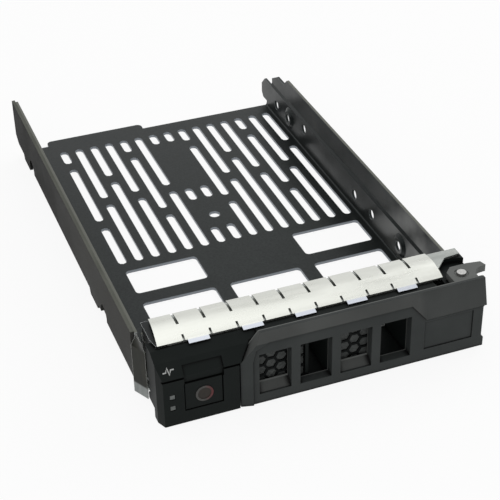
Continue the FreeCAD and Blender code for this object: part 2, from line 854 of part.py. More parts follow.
def cut_button_pocket(body):
    """The button's pocket, the hood above it, the catch's channel and the latch window."""
    gap = s.button_gap
    cut(body, "button_pocket", "XZ_Plane", behind(0), behind(s.button_pocket_depth),
        lambda k: rectangle(k, s.button_left - gap, s.button_right + gap,
                            s.button_bottom - gap, s.button_top + gap))
    cut(body, "button_hood", "YZ_Plane", s.hood_left, s.hood_right, button_hood)
    cut(body, "catch_channel", "YZ_Plane", s.button_right, s.latch_window_left + s.catch_fit,
        lambda k: rectangle(k, behind(s.catch_front - s.catch_fit),
                            behind(s.catch_front + s.catch_thickness + s.catch_fit),
                            s.catch_bottom - s.catch_fit, s.catch_top + s.catch_fit))
    cut(body, "latch_window", "XZ_Plane", behind(s.base_face), behind(s.tongue_rear + s.latch_window_gap),
        lambda k: rectangle(k, s.latch_window_left, s.latch_window_right,
                            s.tongue_bottom - s.latch_window_gap, s.tongue_top + s.latch_window_gap))


def cut_lamp_channels(body):
    """Square windows in the pod's face and the space behind them where the pipes bend outwards."""
    half = s.lamp_size / 2 + s.lamp_gap
    for name, z in (("lower", s.lamp_lower_z), ("upper", s.lamp_upper_z)):
        cut(body, f"{name}_lamp_window", "XZ_Plane", behind(0), behind(s.pipe_bend_start),
            lambda k: rectangle(k, s.lamp_x - half, s.lamp_x + half, z - half, z + half))
    cut(body, "pipe_space", "XZ_Plane", behind(s.pipe_bend_start - OVERRUN), behind(s.tray_front),
        lambda k: rectangle(k, s.pod_left + s.shell_wall / 2, s.lamp_x + half,
                            s.lamp_lower_z - half, s.lamp_upper_z + half))
    cut(body, "pipe_exit", "XZ_Plane", behind(s.pod_rear - s.shell_wall), behind(s.pod_rear),
        lambda k: rectangle(k, s.pod_left, s.lamp_x, s.lamp_lower_z - half, s.lamp_upper_z + half))


def cut_vents(body):
    """Four air openings through the base and the hollow behind the label."""
    floor, roof = s.base_bottom + s.shell_wall, s.base_top - s.shell_wall
    openings = [(s.vent_left, s.vent_rib_left), (s.vent_rib_left + s.rib_width, s.vent_rib_right),
                (s.vent_gap_left, s.vent_gap_right), (s.vent_gap_right + s.rib_width, s.vent_right)]
    for number, (left, right) in enumerate(openings, start=1):
        cut(body, f"vent_{number}", "XZ_Plane", behind(s.base_face), behind(s.tray_front),
            lambda k: rectangle(k, left, right, floor, roof))
    cut(body, "rear_cavity", "XZ_Plane", behind(s.cavity_front), behind(s.tray_front),
        lambda k: rectangle(k, s.cavity_left, s.cavity_right, floor, roof))


def shape_pivot(body):
    """The boss round the pivot pin, with room for the lever's ears and its spring."""
    ear_floor = s.ear_bottom - s.ear_clearance
    ear_roof = s.lower_ear_top + s.ear_clearance
    extrude(body, "pivot_boss", "XY_Plane", ear_roof, s.boss_top,
            lambda k: circle(k, s.pivot_x, pivot_y, s.boss_radius))
    cut(body, "upper_ear_room", "XY_Plane", ear_floor, s.base_top + OVERRUN,
        lambda k: circle(k, s.pivot_x, pivot_y, s.ear_sweep))
    cut(body, "lower_ear_room", "XY_Plane", s.base_bottom - OVERRUN, ear_roof,
        lambda k: circle(k, s.pivot_x, pivot_y, s.ear_sweep))
    cut(body, "spring_room", "XY_Plane", s.boss_top, ear_floor,
        lambda k: circle(k, s.pivot_x, pivot_y, s.boss_radius))
    cut(body, "pin_bore", "XY_Plane", s.lower_ear_bottom, s.boss_top,
        lambda k: circle(k, s.pivot_x, pivot_y, s.pin_radius + BASE_SLACK))


# ---------------------------------------------------------------- vent screens

def make_screen(node, left, right, cell_x, cell_z):
    """A honeycomb sheet that fills one vent, with cells clipped at its edges."""
    body = new_body(node)
    floor, roof = s.base_bottom + s.shell_wall, s.base_top - s.shell_wall
    front, back = behind(s.screen_depth), behind(s.screen_depth + s.screen_thickness)
    extrude(body, f"{node}_sheet", "XZ_Plane", front, back,
            lambda k: rectangle(k, left, right, floor, roof))
    column_pitch = s.cell_pitch * math.cos(math.pi / 6)
    cells = []
    for shift in (0, 1):
        x = cell_x + column_pitch * (shift - 2)
        z = cell_z - s.cell_pitch * 2 + s.cell_pitch * shift / 2
        cells.append(cut(body, f"{node}_cell_{shift}", "XZ_Plane", front, back,
                         lambda k: hexagon(k, x, z, s.cell_pitch - s.cell_web)))
    grid = body.newObject("PartDesign::MultiTransform", f"{node}_cells")
    grid.Originals = cells
    rows = []
    spread = [("H_Axis", column_pitch * 2, CELL_COLUMNS), ("V_Axis", s.cell_pitch, CELL_ROWS)]
    for axis, step, count in spread:
        pattern = body.newObject("PartDesign::LinearPattern", f"{node}_{axis[0]}_row")
        pattern.Direction = (cells[0].Profile[0], [axis])
        pattern.setExpression("Length", (as_size(step) * (count - 1)).text)
        pattern.Occurrences = count
        rows.append(pattern)
    grid.Transformations = rows
    body.Tip = grid
    return body


# ---------------------------------------------------------------- lever

def lever_outline(sketch):
    """The lever from the front: raked left shoulder, bulge and foot at the right end."""
    bulge = s.lever_right + s.bulge_out
    polygon(sketch, [
        (s.lever_left, s.lever_bottom), (bulge, s.lever_bottom),
        (bulge, s.foot_height - s.bulge_out), (s.lever_right, s.foot_height),
        (s.lever_right, s.border_drop_z - s.bulge_out), (bulge, s.border_drop_z),
        (bulge, s.lever_top), (s.shoulder_x, s.lever_top), (s.lever_left, s.shoulder_z)])


def lever_field(sketch):
    """The sunk field of the lever's face, below the raised top band."""
    edge = s.lever_right + s.bulge_out + OVERRUN
    below = s.lever_bottom - OVERRUN
    polygon(sketch, [
        (s.end_strip_x, below), (edge, below), (edge, s.border_drop_z),
        (s.border_drop_end, s.border_drop_z), (s.border_drop_start, s.border_z),
        (s.shoulder_x + s.bevel_depth, s.border_z),
        (s.end_strip_x + OVERRUN, s.border_z - OVERRUN * 2),
        (s.end_strip_x, s.shoulder_z)])


def bevel_section(border):
    """What the top band's bevel takes off, for a band whose lower edge is at the given height."""
    front, above = behind(-s.band_proud), s.lever_top + OVERRUN
    return [(front, border), (behind(s.bevel_depth), s.lever_top), (behind(s.bevel_depth), above),
            (front - OVERRUN, above), (front - OVERRUN, border)]


def ear(sketch):
    """A lug round the pin, rooted in the lever's bar."""
    half, back, chamfer = s.ear_half_width, s.ear_back, s.ear_chamfer
    root = behind(s.lever_back - OVERRUN) - pivot_y
    corners = [(-half, root), (-half, back - chamfer), (-half + chamfer, back), (half - chamfer, back),
               (half, back - chamfer), (half, root)]
    polygon(sketch, [(s.pivot_x + x, pivot_y + y) for x, y in corners])


def rack_nose(sketch):
    """The nose beside the upper ear that levers against the rack."""
    back, reach, tip = s.ear_back, s.nose_reach, s.nose_tip
    corners = [(-tip, back), (-tip, -tip), (s.ear_half_width + tip, -tip), (reach - tip, -tip / 2),
               (reach, tip), (reach - tip / 2, back - tip / 2), (s.ear_half_width, back)]
    polygon(sketch, [(s.pivot_x + x, pivot_y + y) for x, y in corners])


def tongue_plan(sketch):
    """The latch tongue from above: an arm with a lip towards the catch."""
    lip_left = s.catch_nose + s.tongue_gap
    rear = behind(s.tongue_rear)
    polygon(sketch, [
        (s.tongue_left, behind(s.lever_back)), (s.tongue_right, behind(s.lever_back)),
        (s.tongue_right, rear), (s.tongue_left, rear),
        (lip_left, rear - s.tongue_lip + OVERRUN / 2), (lip_left, rear - s.tongue_lip),
        (s.tongue_left, rear - s.tongue_lip)])


def make_lever():
    body = new_body("lever")
    front = behind(-s.band_proud)
    extrude(body, "bar", "XZ_Plane", front, behind(s.lever_back), lever_outline)
    cut(body, "field", "XZ_Plane", front, behind(0), lever_field)
    left, right = s.lever_left - OVERRUN, s.lever_right + s.bulge_out + OVERRUN
    cut(body, "bevel", "YZ_Plane", left, s.border_drop_start,
        lambda k: polygon(k, bevel_section(s.border_z)))
    loft(body, "bevel_turn", "YZ_Plane", [(s.border_drop_start, bevel_section(s.border_z)),
                                          (s.border_drop_end, bevel_section(s.border_drop_z))], subtract=True)
    cut(body, "deep_bevel", "YZ_Plane", s.border_drop_end, right,
        lambda k: polygon(k, bevel_section(s.border_drop_z)))
    cut(body, "end_strip", "XY_Plane", s.lever_bottom, s.lever_top,
        lambda k: polygon(k, [(s.lever_left, front), (s.end_strip_x, front),
                              (s.lever_left, front + s.end_strip_back)]))
    port = cut(body, "port", "XZ_Plane", behind(0), behind(s.lever_back),
               lambda k: rectangle(k, s.port_first_x - s.port_width / 2, s.port_first_x + s.port_width / 2,
                                   s.port_bottom, s.port_bottom + s.port_height))
    repeat(body, "ports", port, "H_Axis", s.port_pitch, PORTS)
    port_left = s.port_first_x - s.port_width / 2
    sill = extrude(body, "sill", "YZ_Plane", port_left, port_left + s.port_width, lambda k: polygon(k, [
        (behind(s.sill_front), s.port_bottom), (behind(s.lever_back), s.port_bottom),
        (behind(s.lever_back), s.port_bottom + s.sill_rise)]))
    sills = repeat(body, "sills", sill, "H_Axis", s.port_pitch * 2, PORTS // 2)
    sills.Direction = (sill.Profile[0], ["N_Axis"])
    cut(body, "label_field", "XZ_Plane", behind(0), behind(s.label_depth),
        lambda k: rectangle(k, s.label_left, s.label_right, s.label_bottom, s.label_top))
    extrude(body, "upper_ear", "XY_Plane", s.ear_bottom, s.ear_top, ear)
    extrude(body, "rack_nose", "XY_Plane", s.ear_bottom, s.ear_top, rack_nose)
    extrude(body, "lower_ear", "XY_Plane", s.lower_ear_bottom, s.lower_ear_top, ear)
    bore = s.pin_radius + s.pin_fit
    cut(body, "pin_hole", "XY_Plane", s.lower_ear_bottom, s.ear_top,
        lambda k: circle(k, s.pivot_x, pivot_y, bore))
    cut(body, "pin_ring", "XY_Plane", s.ear_top - s.pin_ring_depth, s.ear_top,
        lambda k: circle(k, s.pivot_x, pivot_y, s.pin_ring_radius))
    extrude(body, "latch_tongue", "XY_Plane", s.tongue_bottom, s.tongue_top, tongue_plan)
    return body


def make_pivot_pin():
    body = new_body("pivot_pin")
    extrude(body, "pin", "XY_Plane", s.pin_bottom, s.pin_top,
            lambda k: circle(k, s.pivot_x, pivot_y, s.pin_radius))
    return body


# ---------------------------------------------------------------- release button and catch

def cam_plan(sketch):
    """The slanting leg behind the button that moves the catch sideways."""
    slope = s.catch_travel / s.button_travel
    back = s.catch_front + s.catch_thickness
    left_at_back = s.catch_window_left + s.cam_clearance + slope * s.catch_thickness
    left_at_tip = left_at_back + slope * (s.cam_tip_depth - back)
    left_at_root = left_at_back - slope * (back - s.button_back)
    polygon(sketch, [
        (left_at_root, behind(s.button_back)), (left_at_root + s.cam_width, behind(s.button_back)),
        (left_at_tip + s.cam_width, behind(s.cam_tip_depth)), (left_at_tip, behind(s.cam_tip_depth))])


def make_release_button():
    body = new_body("release_button")
    extrude(body, "cap", "XZ_Plane", behind(s.button_face), behind(s.button_back),
            lambda k: rectangle(k, s.button_left, s.button_right, s.button_bottom, s.button_top))
    cut(body, "ring_seat", "XZ_Plane", behind(s.button_face), behind(s.button_face + s.button_gap),
        lambda k: circle(k, s.ring_x, s.ring_z, s.ring_outer_radius))
    extrude(body, "cam", "XY_Plane", s.catch_window_bottom + s.cam_clearance,
            s.catch_window_top - s.cam_clearance, cam_plan)
    return body


def make_button_ring():
    body = new_body("button_ring")
    front = behind(s.button_face - s.ring_proud)
    extrude(body, "ring", "XZ_Plane", front, behind(s.button_face + s.button_gap), lambda k: (
        circle(k, s.ring_x, s.ring_z, s.ring_outer_radius),
        circle(k, s.ring_x, s.ring_z, s.ring_inner_radius)))
    return body


def make_button_dot():
    body = new_body("button_dot")
    extrude(body, "dot", "XZ_Plane", behind(s.button_face), behind(s.button_face + s.button_gap),
            lambda k: circle(k, s.ring_x, s.ring_z, s.ring_inner_radius))
    return body


def make_latch_catch():
    body = new_body("latch_catch")
    extrude(body, "plate", "XZ_Plane", behind(s.catch_front), behind(s.catch_front + s.catch_thickness),
            lambda k: rectangle(k, s.catch_tail, s.catch_nose, s.catch_bottom, s.catch_top))
    cut(body, "cam_window", "XZ_Plane", behind(s.catch_front), behind(s.catch_front + s.catch_thickness),
        lambda k: rectangle(k, s.catch_window_left, s.catch_window_right,
                            s.catch_window_bottom, s.catch_window_top))
    return body


def wire_section(radius, wire, turn, rise):
    """Corners of a coil's four-sided wire at the given turn and rise."""
    corners = []
    for quarter in range(4):
        angle = quarter * math.pi / 2
        reach = radius.number + wire.number * math.cos(angle)
        corners.append(FreeCAD.Vector(reach * math.cos(turn), reach * math.sin(turn),
                                      rise + wire.number * math.sin(angle)))
    return corners


def flat_face(*corners):
    return Part.Face(Part.makePolygon([*corners, corners[0]]))


def coil(node, centre, axis, radius, wire, turns, length):
    """An open coil of short straight lengths of wire, between the two ends of its length."""
    steps = round(turns.number * COIL_SIDES)
    climb = length.number - 2 * wire.number
    sections = [wire_section(radius, wire, 2 * math.pi * i / COIL_SIDES, climb * i / steps)
                for i in range(steps + 1)]
    faces = [flat_face(*sections[0]), flat_face(*sections[-1])]
    for near, far in zip(sections, sections[1:]):
        for i in range(4):
            j = (i + 1) % 4
            faces.append(flat_face(near[i], near[j], far[j]))
            faces.append(flat_face(near[i], far[j], far[i]))
    solid = Part.Solid(Part.Shell(faces))
    if solid.Volume < 0:
        solid.reverse()
    spring = doc.addObject("Part::Feature", node)
    spring.Label = node
    spring.Shape = solid
    base = FreeCAD.Vector(*(c.number for c in centre)) + axis * wire.number
    spring.Placement = FreeCAD.Placement(base, FreeCAD.Rotation(ALONG_Z, axis))
    return spring


def make_springs():
    coil("lever_spring", (s.pivot_x, pivot_y, s.boss_top), ALONG_Z, s.lever_spring_radius, s.lever_spring_wire,
         s.lever_spring_turns, s.ear_bottom - s.ear_clearance - s.boss_top)
    z = (s.button_bottom + s.button_top) / 2
    coil("button_spring", (s.button_spring_x, behind(s.button_back), z), ALONG_Y, s.button_spring_radius,
         s.button_spring_wire, s.button_spring_turns, s.button_pocket_depth - s.button_back)


# ---------------------------------------------------------------- light pipes and rail cover

def pipe_plan(sketch):
    """A light pipe from above: straight behind its window, then out to the channel in the wall."""
    half_lamp = s.lamp_size / 2
    rail_left = -left_upper_outer + s.pipe_gap
    rail_right = rail_left + s.pipe_width
    polygon(sketch, [
        (s.lamp_x - half_lamp, behind(s.lamp_recess)), (s.lamp_x + half_lamp, behind(s.lamp_recess)),
        (s.lamp_x + half_lamp, behind(s.pipe_bend_start)), (rail_right, behind(s.pipe_bend_end)),
        (rail_right, behind(s.pipe_rear)), (rail_left, behind(s.pipe_rear)),
        (rail_left, behind(s.pipe_bend_end)), (s.lamp_x - half_lamp, behind(s.pipe_bend_start))])


def make_light_pipe(node, lamp_z, rail_z):
    """A light pipe: its window end is at the lamp's height, its rail end higher and thinner."""
    body = new_body(node)
    half = s.lamp_size / 2
    low, high = lamp_z - half, lamp_z + half
    rail_low, rail_high = rail_z, rail_z + s.pipe_height
    bottom, top = low - OVERRUN, rail_high + s.lamp_size
    extrude(body, f"{node}_bar", "XY_Plane", low, rail_high + half, pipe_plan)
    front, rear = behind(0), behind(s.pipe_rear + OVERRUN)
    rise, level = behind(s.pipe_rise_start), behind(s.pipe_rise_end)
    left, right = -left_upper_outer, s.lamp_x + s.lamp_size
    cut(body, f"{node}_top", "YZ_Plane", left, right, lambda k: polygon(k, [
        (front, high), (rise, high), (level, rail_high), (rear, rail_high), (rear, top), (front, top)]))
    cut(body, f"{node}_underside", "YZ_Plane", left, right, lambda k: polygon(k, [
        (rise, low), (level, rail_low), (rear, rail_low), (rear, bottom), (rise, bottom)]))
    return body


def cover_profile(sketch):
    """The rail cover from the side, with a raked heel at its rear end."""
    polygon(sketch, [
        (behind(s.cover_front), s.cover_bottom),
        (behind(s.cover_rear - s.cover_heel_length), s.cover_bottom),
        (behind(s.cover_rear), s.cover_heel_z),
        (behind(s.cover_rear), s.cover_top),
        (behind(s.cover_front), s.cover_top)])


def make_rail_cover():
    body = new_body("rail_cover")
    outside, inside = -left_upper_outer - s.cover_thickness, -left_upper_outer
    extrude(body, "strip", "YZ_Plane", outside, inside, cover_profile)
    tab_front = behind(s.cover_tab_depth)
    tab = extrude(body, "tab", "YZ_Plane", outside, inside, lambda k: polygon(k, [
        (tab_front, s.cover_bottom), (tab_front + OVERRUN, s.cover_bottom - s.cover_tab_drop),
        (tab_front + s.cover_tab_length - OVERRUN, s.cover_bottom - s.cover_tab_drop),
        (tab_front + s.cover_tab_length, s.cover_bottom)]))
    repeat(body, "tabs", tab, "H_Axis", s.cover_tab_pitch, 2)
    clip_front = behind(s.clip_depth)
    high = s.pipe_rail_z - s.pipe_gap
    clip = extrude(body, "clip", "YZ_Plane", inside, -lower_outer,
                   lambda k: rectangle(k, clip_front, clip_front + s.clip_length, high - s.clip_height, high))
    repeat(body, "clips", clip, "H_Axis", s.clip_pitch, 4)
    cut(body, "screw_access", "YZ_Plane", outside, inside, lambda k: [
        circle(k, y, s.screw_z, s.screw_access_radius) for y in screw_places()])
    return body


# ---------------------------------------------------------------- shield and spring strips

def make_front_shield():
    """The bent steel plate over the bezel base, notched round the lever's ear."""
    body = new_body("front_shield")
    left = s.base_left - s.shield_gauge
    rear = behind(tray_wall_back + s.shield_gauge)
    extrude(body, "plate", "XY_Plane", s.base_top, shield_top, lambda k: polygon(k, [
        (left, behind(s.flange_front)), (s.base_left, behind(s.shield_front)),
        (s.notch_inner_x, behind(s.shield_front)), (s.notch_inner_x, behind(s.notch_inner_depth)),
        (s.notch_outer_x, behind(s.notch_outer_depth)), (s.shield_right, behind(s.notch_rear_depth)),
        (s.shield_right, rear), (left, rear)]))
    extrude(body, "left_flange", "XY_Plane", s.flange_bottom, s.base_top,
            lambda k: rectangle(k, left, s.base_left, behind(s.flange_front), behind(s.tray_front)))
    extrude(body, "rear_flange", "XY_Plane", s.base_top - s.rear_flange_drop, s.base_top,
            lambda k: rectangle(k, s.base_left, s.rear_flange_half, behind(tray_wall_back), rear))
    cut(body, "rivet_holes", "XZ_Plane", behind(tray_wall_back), rear, lambda k: (
        circle(k, s.rivet_left_x, s.rivet_upper_z, s.rivet_radius + s.rivet_fit),
        circle(k, s.rivet_right_x, s.rivet_upper_z, s.rivet_radius + s.rivet_fit)))
    return body


def strip_section(sketch):
    """The arched strip from the side: two arcs about one centre, with the rear edge the higher."""
    reach = s.strip_crest - s.strip_front
    outer = reach * reach / (s.strip_rise * 2) + s.strip_rise / 2
    inner = outer - s.strip_gauge
    crest, rear = behind(s.strip_crest), behind(s.strip_rear)
    centre_z = shield_top + s.strip_rise - outer
    arcs = []
    for radius in (outer, inner):
        start = math.acos((rear - crest).number / radius.number)
        end = math.pi - math.asin((shield_top - centre_z).number / radius.number)
        circle_shape = Part.Circle(vector((crest, centre_z)), FreeCAD.Vector(0, 0, 1), radius.number)
        arcs.append(Part.ArcOfCircle(circle_shape, start, end))
    sketch.addGeometry([arcs[0], Part.LineSegment(arcs[0].EndPoint, arcs[1].EndPoint), arcs[1],
                        Part.LineSegment(arcs[1].StartPoint, arcs[0].StartPoint)], False)
    sketch.addConstraint([Sketcher.Constraint("Coincident", 0, 2, 1, 1),
                          Sketcher.Constraint("Coincident", 1, 2, 2, 2),
                          Sketcher.Constraint("Coincident", 2, 1, 3, 1),
                          Sketcher.Constraint("Coincident", 3, 2, 0, 1)])
    for arc, radius in ((0, outer), (2, inner)):
        constrain(sketch, "DistanceX", arc, 3, crest)
        constrain(sketch, "DistanceY", arc, 3, centre_z)
        constrain(sketch, "Radius", arc, None, radius)
        constrain(sketch, "DistanceX", arc, 1, rear)
        constrain(sketch, "DistanceY", arc, 2, shield_top)


def strip_lip(sketch):
    """A lip that slopes down from the strip's front edge, clear of the shield and the base."""
    front, low = behind(s.strip_front), shield_top - s.lip_drop
    overlap = s.strip_gauge * 2
    polygon(sketch, [
        (front + overlap, shield_top), (front, shield_top), (front, shield_top - s.strip_gauge / 2),
        (front - s.lip_reach, low), (front - s.lip_reach, low + s.strip_gauge),
        (front, shield_top + s.strip_gauge / 3), (front + overlap, shield_top + s.strip_gauge * 0.8)])


def strip_end(sketch):
    """The sliver that is trimmed off the strip's left end."""
    front, rear = behind(s.strip_front - OVERRUN), behind(s.strip_rear + OVERRUN)
    polygon(sketch, [(s.strip_left - OVERRUN, front), (s.strip_left, front),
                     (s.strip_left + s.strip_trim, rear), (s.strip_left - OVERRUN, rear)])


def make_top_strip():
    body = new_body("emi_top_strip")
    extrude(body, "arch", "YZ_Plane", s.strip_left, s.strip_right, strip_section)
    top = shield_top + s.strip_rise + OVERRUN
    rear_start, rear_end = s.strip_rear - s.rear_gap_length, s.strip_rear + OVERRUN
    front_start, front_end = s.strip_front - OVERRUN, s.strip_front + s.front_gap_length
    gaps = [("rear_gap", s.rear_gap_width, rear_start, rear_end),
            ("front_gap", s.front_gap_width, front_start, front_end)]
    for name, width, start, end in gaps:
        gap = cut(body, name, "XY_Plane", shield_top, top, lambda k: rectangle(
            k, s.first_gap_x - width / 2, s.first_gap_x + width / 2, behind(start), behind(end)))
        repeat(body, f"{name}s", gap, "H_Axis", s.finger_pitch, FINGERS - 1)
    lip_left = s.first_gap_x + (s.finger_pitch - s.lip_width) / 2
    lip = extrude(body, "lip", "YZ_Plane", lip_left, lip_left + s.lip_width, strip_lip)
    lips = repeat(body, "lips", lip, "H_Axis", s.finger_pitch * 2, LIPS)
    lips.Direction = (lip.Profile[0], ["N_Axis"])
    cut(body, "left_end", "XY_Plane", shield_top, top, strip_end)
    return body


def wing_leaf(fold_x, tip_x):
    """Corners of the side strip's outer leaf from above, from its fold to its tip."""
    g = s.wing_gauge
    fold, tip = behind(s.wing_fold_depth), behind(s.wing_tip_depth)
    return [(fold_x, fold), (fold_x + g, fold), (tip_x + g, tip), (tip_x, tip)]


def wing_leg(sketch):
    """The leg that lies on the shield's flange and folds over into the outer leaf."""
    g = s.wing_gauge
    face = s.base_left - s.shield_gauge
    polygon(sketch, [
        (s.wing_fold_x, behind(s.wing_fold_depth)), (face - g, behind(s.wing_fold_depth)),
        (face, behind(s.wing_fold_depth) + g), (face, behind(s.wing_leg_rear)),
        (face - g, behind(s.wing_leg_rear)), (face - g, behind(s.wing_fold_depth) + g),
        (s.wing_fold_x + g, behind(s.wing_fold_depth) + g)])


def make_side_strip():
    body = new_body("emi_side_strip")
    leaf = wing_leaf(s.wing_fold_x, s.wing_tip_x)
    extrude(body, "panel", "XY_Plane", s.wing_bottom, s.wing_top, lambda k: polygon(k, leaf))
    extrude(body, "leg", "XY_Plane", s.wing_leg_bottom, s.wing_top, wing_leg)
    crown = wing_leaf(s.wing_crown_x, s.wing_crown_x)
    loft(body, "crown", "XY_Plane", [(s.wing_top, leaf), (s.wing_crown_z, crown)])
    return body


# ---------------------------------------------------------------- rivets

def make_rivets():
    """Four rivets through the tray's front wall, the upper two through the shield as well."""
    group = doc.addObject("Part::Compound", "bezel_rivets")
    group.Label = "bezel_rivets"
    links = []
    for level, z, seat in (("lower", s.rivet_lower_z, tray_wall_back),
                           ("upper", s.rivet_upper_z, tray_wall_back + s.shield_gauge)):
        for side, x in (("left", s.rivet_left_x), ("right", s.rivet_right_x)):
            name = f"{level}_{side}_rivet"
            shank_length = seat - s.tray_front + s.rivet_grip
            rivet = doc.addObject("Part::Fuse", name)
            rivet.Base = round_bar(f"{name}_shank", s.rivet_radius, shank_length,
                                   x, behind(s.tray_front - s.rivet_grip), z)
            rivet.Tool = round_bar(f"{name}_head", s.rivet_head_radius, s.rivet_head_height,
                                   x, behind(seat), z)
            links.append(rivet)
    group.Links = links
    return group


def round_bar(name, radius, length, x, y, z):
    """A many-sided bar that runs from the given place towards +Y."""
    shape = doc.addObject("Part::Prism", name)
    shape.Polygon = RIVET_SIDES
    shape.setExpression("Circumradius", radius.text)
    shape.setExpression("Height", length.text)
    shape.Placement = FreeCAD.Placement(FreeCAD.Vector(), FreeCAD.Rotation(ALONG_X, -90))
    for axis, size in zip("xyz", (x, y, z)):
        shape.setExpression(f"Placement.Base.{axis}", as_size(size).text)
    return shape


# ---------------------------------------------------------------- the whole caddy

def make_all():
    make_tray()
    make_bezel_base()
    make_screen("vent_screen_left", s.vent_left, s.vent_rib_left, s.left_cell_x, s.left_cell_z)
    make_screen("vent_screen_right", s.vent_gap_left, s.vent_gap_right, s.right_cell_x, s.right_cell_z)
    make_lever()
    make_pivot_pin()
    make_release_button()
    make_button_ring()
    make_button_dot()
    make_latch_catch()
    make_springs()
    make_light_pipe("light_pipe_lower", s.lamp_lower_z, s.pipe_rail_z)
    make_light_pipe("light_pipe_upper", s.lamp_upper_z, s.pipe_rail_z + s.pipe_spacing)
    make_rail_cover()
    make_front_shield()
    make_top_strip()
    make_side_strip()
    make_rivets()


NODES = ["tray", "bezel_base", "vent_screen_left", "vent_screen_right", "lever", "pivot_pin", "lever_spring",
         "release_button", "button_ring", "button_dot", "button_spring", "latch_catch", "light_pipe_lower",
         "light_pipe_upper", "rail_cover", "front_shield", "emi_top_strip", "emi_side_strip", "bezel_rivets"]


def check_document():
    """Stop if any object failed, or a pocket took nothing away."""
    for item in doc.Objects:
        if "Invalid" in item.State or "Error" in item.State:
            raise RuntimeError(f"{item.Name} failed: {item.State}")
        if item.TypeId == "PartDesign::Pocket" and item.BaseFeature is not None:
            if item.Shape.Volume >= item.BaseFeature.Shape.Volume - NEGLIGIBLE:
                raise RuntimeError(f"{item.Name} cuts nothing")


def export_all():
    os.makedirs("parts", exist_ok=True)
    for node in NODES:
        shape = doc.getObject(node).Shape
        if shape.isNull() or not shape.isValid():
            raise RuntimeError(f"{node} has no valid shape")
        shape.exportStep(f"parts/{node}.step")
        box = shape.BoundBox
        reach = [f"{low:.2f}..{high:.2f}" for low, high in (
            (box.XMin, box.XMax), (box.YMin, box.YMax), (box.ZMin, box.ZMax))]
        print(f"{node}: {len(shape.Solids)} solid, {shape.Volume:.1f} mm3, x y z {' '.join(reach)}")


make_all()
doc.recompute()
check_document()
export_all()
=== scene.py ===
"""Looks of the hot swap drive caddy: finishes, finer pieces, light, camera. Metres, CAD frame."""
import math

import bmesh
import bpy
from mathutils import Matrix, Vector


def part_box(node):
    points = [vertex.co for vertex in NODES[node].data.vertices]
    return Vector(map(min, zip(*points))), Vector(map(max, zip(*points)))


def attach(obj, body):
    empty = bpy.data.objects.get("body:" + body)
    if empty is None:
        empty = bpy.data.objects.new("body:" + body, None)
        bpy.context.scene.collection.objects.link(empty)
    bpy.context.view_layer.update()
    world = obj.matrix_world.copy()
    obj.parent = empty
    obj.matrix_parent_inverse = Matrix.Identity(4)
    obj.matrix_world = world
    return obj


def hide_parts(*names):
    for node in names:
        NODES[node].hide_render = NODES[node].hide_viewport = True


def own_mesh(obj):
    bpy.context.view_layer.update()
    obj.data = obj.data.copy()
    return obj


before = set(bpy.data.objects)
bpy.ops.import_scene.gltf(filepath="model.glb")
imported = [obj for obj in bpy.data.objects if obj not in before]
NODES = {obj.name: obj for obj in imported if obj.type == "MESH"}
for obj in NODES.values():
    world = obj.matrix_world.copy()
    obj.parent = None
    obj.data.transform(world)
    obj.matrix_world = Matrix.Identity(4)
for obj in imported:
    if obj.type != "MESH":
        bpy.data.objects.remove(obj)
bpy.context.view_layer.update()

MM = 0.001
X, Y, Z = 0, 1, 2
NOISE_LOW, NOISE_HIGH = 0.3, 0.7      # where most of a noise texture's values lie
BEVEL_SAMPLES, CREVICE_SAMPLES = 4, 8
GRAIN_SCALE = 2600                    # spark texture of a moulded surface
COLUMNS_PER_HALF_WAVE = 2             # of the gauze's mesh
BITE_SIDES = 24                       # facets of a full circle
COIL_STEPS = 24                       # rings of wire in a turn
COIL_SIDES = 8                        # facets round the wire
CLOSED_TURNS = 0.75                   # of a turn lies flat at each end of a coil


# ---------------------------------------------------------------- shader helpers

